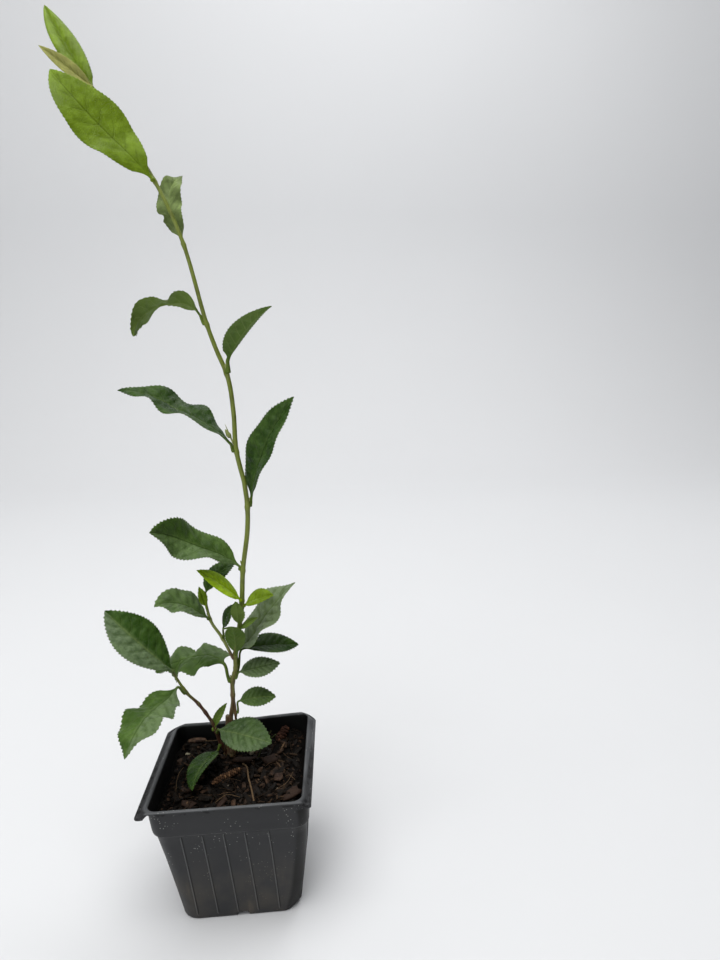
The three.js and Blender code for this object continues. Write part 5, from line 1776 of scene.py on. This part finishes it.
class BuildStems(bpy.types.Operator):
    """Builds the trunk, the leader, the shoots' stems and the buds in their axils."""
    bl_idname = "tea_plant.build_stems"
    bl_label = "Build Stems"

    def execute(self, context):
        sizes, colours = context.scene.tea_sizes, context.scene.tea_colours
        tree = stem_tree()
        green, bark, twig = colours.green_stem, colours.bark, colours.twig
        greener, browner = tinted(bark, green, 0.75), tinted(green, bark, 0.35)
        fresh, bud = tinted(green, FRESH_LIGHT, 0.06), tinted(green, FRESH_LIGHT, 0.15)
        skins = {
            "trunk": ("bark", stem_finish("trunk_bark", bark, greener, 100, 128, 0.6)),
            "leader_lower": ("green_stem", stem_finish("leader_skin", browner, green, 134, 160)),
            "left_shoot": ("green_stem", stem_finish("shoot_skin", bark, fresh, 133, 143)),
            "low_twig": ("twig_bark", stem_finish("twig_skin", twig, green, 106, 120, 0.5)),
        }
        skins["leader_upper"] = skins["leader_lower"]
        for name, (slot, skin) in skins.items():
            members = [name] if name != "trunk" else ["trunk", "trunk_stub", "trunk_strand"]
            lines = [(STEM_LINES[member], joints_of(member), STEM_SINK[member], STEM_GIRTH.get(member, 1))
                     for member in members]
            piece = stem_lines(name + "_skin", lines, flare=name == "trunk")
            grow(piece, tree, material=skin, relief=sizes.bark_relief)
            if name == "trunk":
                remesh = piece.modifiers.new("fuse", "REMESH")
                remesh.mode = "VOXEL"
                remesh.voxel_size = BARK_VOXEL * MM
                remesh.use_smooth_shade = True
                bake_modifiers(piece)
                roughen(piece, FURROW_DEPTH, FURROW_GRAIN)
            finish_piece(piece, skin, slot, name)
        twigs = [spray_stem(spray)[0] for spray in SPRAYS]
        piece = stem_lines("spray_twigs", [(stem, [], SPRAY_SINK, 1) for stem in twigs])
        grow(piece, tree, material=skins["leader_lower"][1], relief=sizes.bark_relief * 0.5)
        finish_piece(piece, skins["leader_lower"][1], "green_stem")
        shapes = []
        for stem, height, bearing, rise, length, width, away in BUDS:
            foot, out = STEM_LINES[stem].seat(height, bearing)
            shapes.append(bud_shape(foot + out * (away - BUD_SINK), compass(bearing, rise), length, width))
        bud_skin = stem_finish("bud_skin", green, bud, 100, 300)
        finish_piece(mesh_object("axil_buds", join_shapes(shapes)), bud_skin, "green_stem")
        return {"FINISHED"}


class BuildLeaves(bpy.types.Operator):
    """Builds each single leaf of the plant."""
    bl_idname = "tea_plant.build_leaves"
    bl_label = "Build Leaves"

    def execute(self, context):
        sizes, colours = context.scene.tea_sizes, context.scene.tea_colours
        for leaf in LEAVES:
            foot, out = STEM_LINES[leaf["stem"]].seat(leaf.get("node"), leaf.get("seat", leaf["bearing"]))
            radius = PETIOLE_RADIUS + leaf["length"] * PETIOLE_RADIUS_SHARE
            radius *= leaf.get("petiole_girth", PETIOLE_GIRTH)
            piece = mesh_object("fine_" + leaf["name"], leaf_shape(leaf, foot, out, radius, sizes))
            slot = leaf.get("slot", "young_leaf" if leaf["look"] in YOUNG_LOOKS else "leaf")
            finish_piece(piece, leaf_material(leaf["look"], colours), slot, leaf["name"])
        return {"FINISHED"}


class BuildSprays(bpy.types.Operator):
    """Builds the leaves of the small shoots."""
    bl_idname = "tea_plant.build_sprays"
    bl_label = "Build Sprays"

    def execute(self, context):
        sizes, colours = context.scene.tea_sizes, context.scene.tea_colours
        chance = random_numbers(SPRAY_SEED)
        for spray in SPRAYS:
            shapes = spray_leaves(spray, chance, sizes)
            looks = [leaf["look"] for leaf in spray["leaves"]]
            piece = mesh_object("fine_" + spray["name"], join_shapes(shapes))
            kinds = sorted(set(looks))
            indices = [kinds.index(look) for look, shape in zip(looks, shapes) for _ in shape.faces]
            materials = [leaf_material(look, colours) for look in kinds]
            finish_piece(piece, materials, spray.get("slot", "leaf"), spray["name"])
            piece.data.polygons.foreach_set("material_index", indices)
        return {"FINISHED"}


class SetStage(bpy.types.Operator):
    """Sets the pale floor and backdrop, the soft lights and the camera."""
    bl_idname = "tea_plant.set_stage"
    bl_label = "Set Stage"

    def execute(self, context):
        scene, colours = context.scene, context.scene.tea_colours
        scene.view_settings.view_transform = "Standard"
        profile = [(PAPER_FRONT, 0)]
        for turn in np.linspace(0, math.pi / 2, 13):
            out, up = PAPER_RADIUS * math.sin(turn), PAPER_RADIUS * (1 - math.cos(turn))
            profile.append((PAPER_CURVE + out, up))
        profile.append((PAPER_CURVE + PAPER_RADIUS, PAPER_TOP))
        points = [(x, y, z) for y, z in profile for x in (-PAPER_HALF, PAPER_HALF)]
        faces = [(2 * i, 2 * i + 1, 2 * i + 3, 2 * i + 2) for i in range(len(profile) - 1)]
        floor = mesh_object("studio_floor", Shape(points, faces))
        floor.data.materials.append(plain_finish("studio_paper", colours.floor, PAPER_ROUGHNESS))

        world = bpy.data.worlds.new("studio_air")
        world.use_nodes = True
        background = world.node_tree.nodes["Background"]
        background.inputs["Color"].default_value = AIR_COLOUR
        background.inputs["Strength"].default_value = AIR_STRENGTH
        scene.world = world
        for name, place, aim, size, energy, colour in LIGHTS:
            light = bpy.data.lights.new(name, "AREA")
            light.size = size
            light.energy = energy
            light.color = colour
            lamp = placed(name, light)
            lamp.location = place
            lamp.rotation_mode = "QUATERNION"
            lamp.rotation_quaternion = (Vector(aim) - Vector(place)).to_track_quat("-Z", "Y")

        pitch = math.radians(CAMERA_PITCH)
        level = [c * math.cos(pitch) for c in CAMERA_FACING]
        forward = Vector((*level, -math.sin(pitch)))
        data = bpy.data.cameras.new("photo_camera")
        data.sensor_width = SENSOR
        data.lens = FOCAL_PIXELS * SENSOR / PICTURE_HEIGHT
        data.shift_y = TOP_MARGIN / PICTURE_HEIGHT
        data.clip_start, data.clip_end = CLIP
        camera = placed("photo_camera", data)
        camera.location = Vector(CAMERA_PLACE) * MM
        camera.rotation_mode = "QUATERNION"
        camera.rotation_quaternion = forward.to_track_quat("-Z", "Y") @ Quaternion((0, 0, 1), CAMERA_ROLL)
        scene.camera = camera
        return {"FINISHED"}


class TeaPlantPanel(bpy.types.Panel):
    """Lists the plant's sizes, colours and build steps."""
    bl_idname = "VIEW3D_PT_tea_plant"
    bl_label = "Tea Plant"
    bl_space_type = "VIEW_3D"
    bl_region_type = "UI"
    bl_category = "Tea Plant"

    def draw(self, context):
        for operator in BUILD_ORDER:
            self.layout.operator(operator.bl_idname)
        for group in (context.scene.tea_sizes, context.scene.tea_colours):
            box = self.layout.box()
            for name in type(group).__annotations__:
                box.prop(group, name)


BUILD_ORDER = (SetStage, BuildPot, BuildMix, BuildLitter, BuildStems, BuildLeaves, BuildSprays)
CLASSES = (TeaPlantSizes, TeaPlantColours, *BUILD_ORDER, TeaPlantPanel)


def register():
    for cls in CLASSES:
        bpy.utils.register_class(cls)
    bpy.types.Scene.tea_sizes = PointerProperty(type=TeaPlantSizes)
    bpy.types.Scene.tea_colours = PointerProperty(type=TeaPlantColours)


def unregister():
    del bpy.types.Scene.tea_colours
    del bpy.types.Scene.tea_sizes
    for cls in reversed(CLASSES):
        bpy.utils.unregister_class(cls)


def main():
    register()
    for operator in BUILD_ORDER:
        group, name = operator.bl_idname.split(".")
        getattr(getattr(bpy.ops, group), name)()


if __name__ == "__main__":
    main()
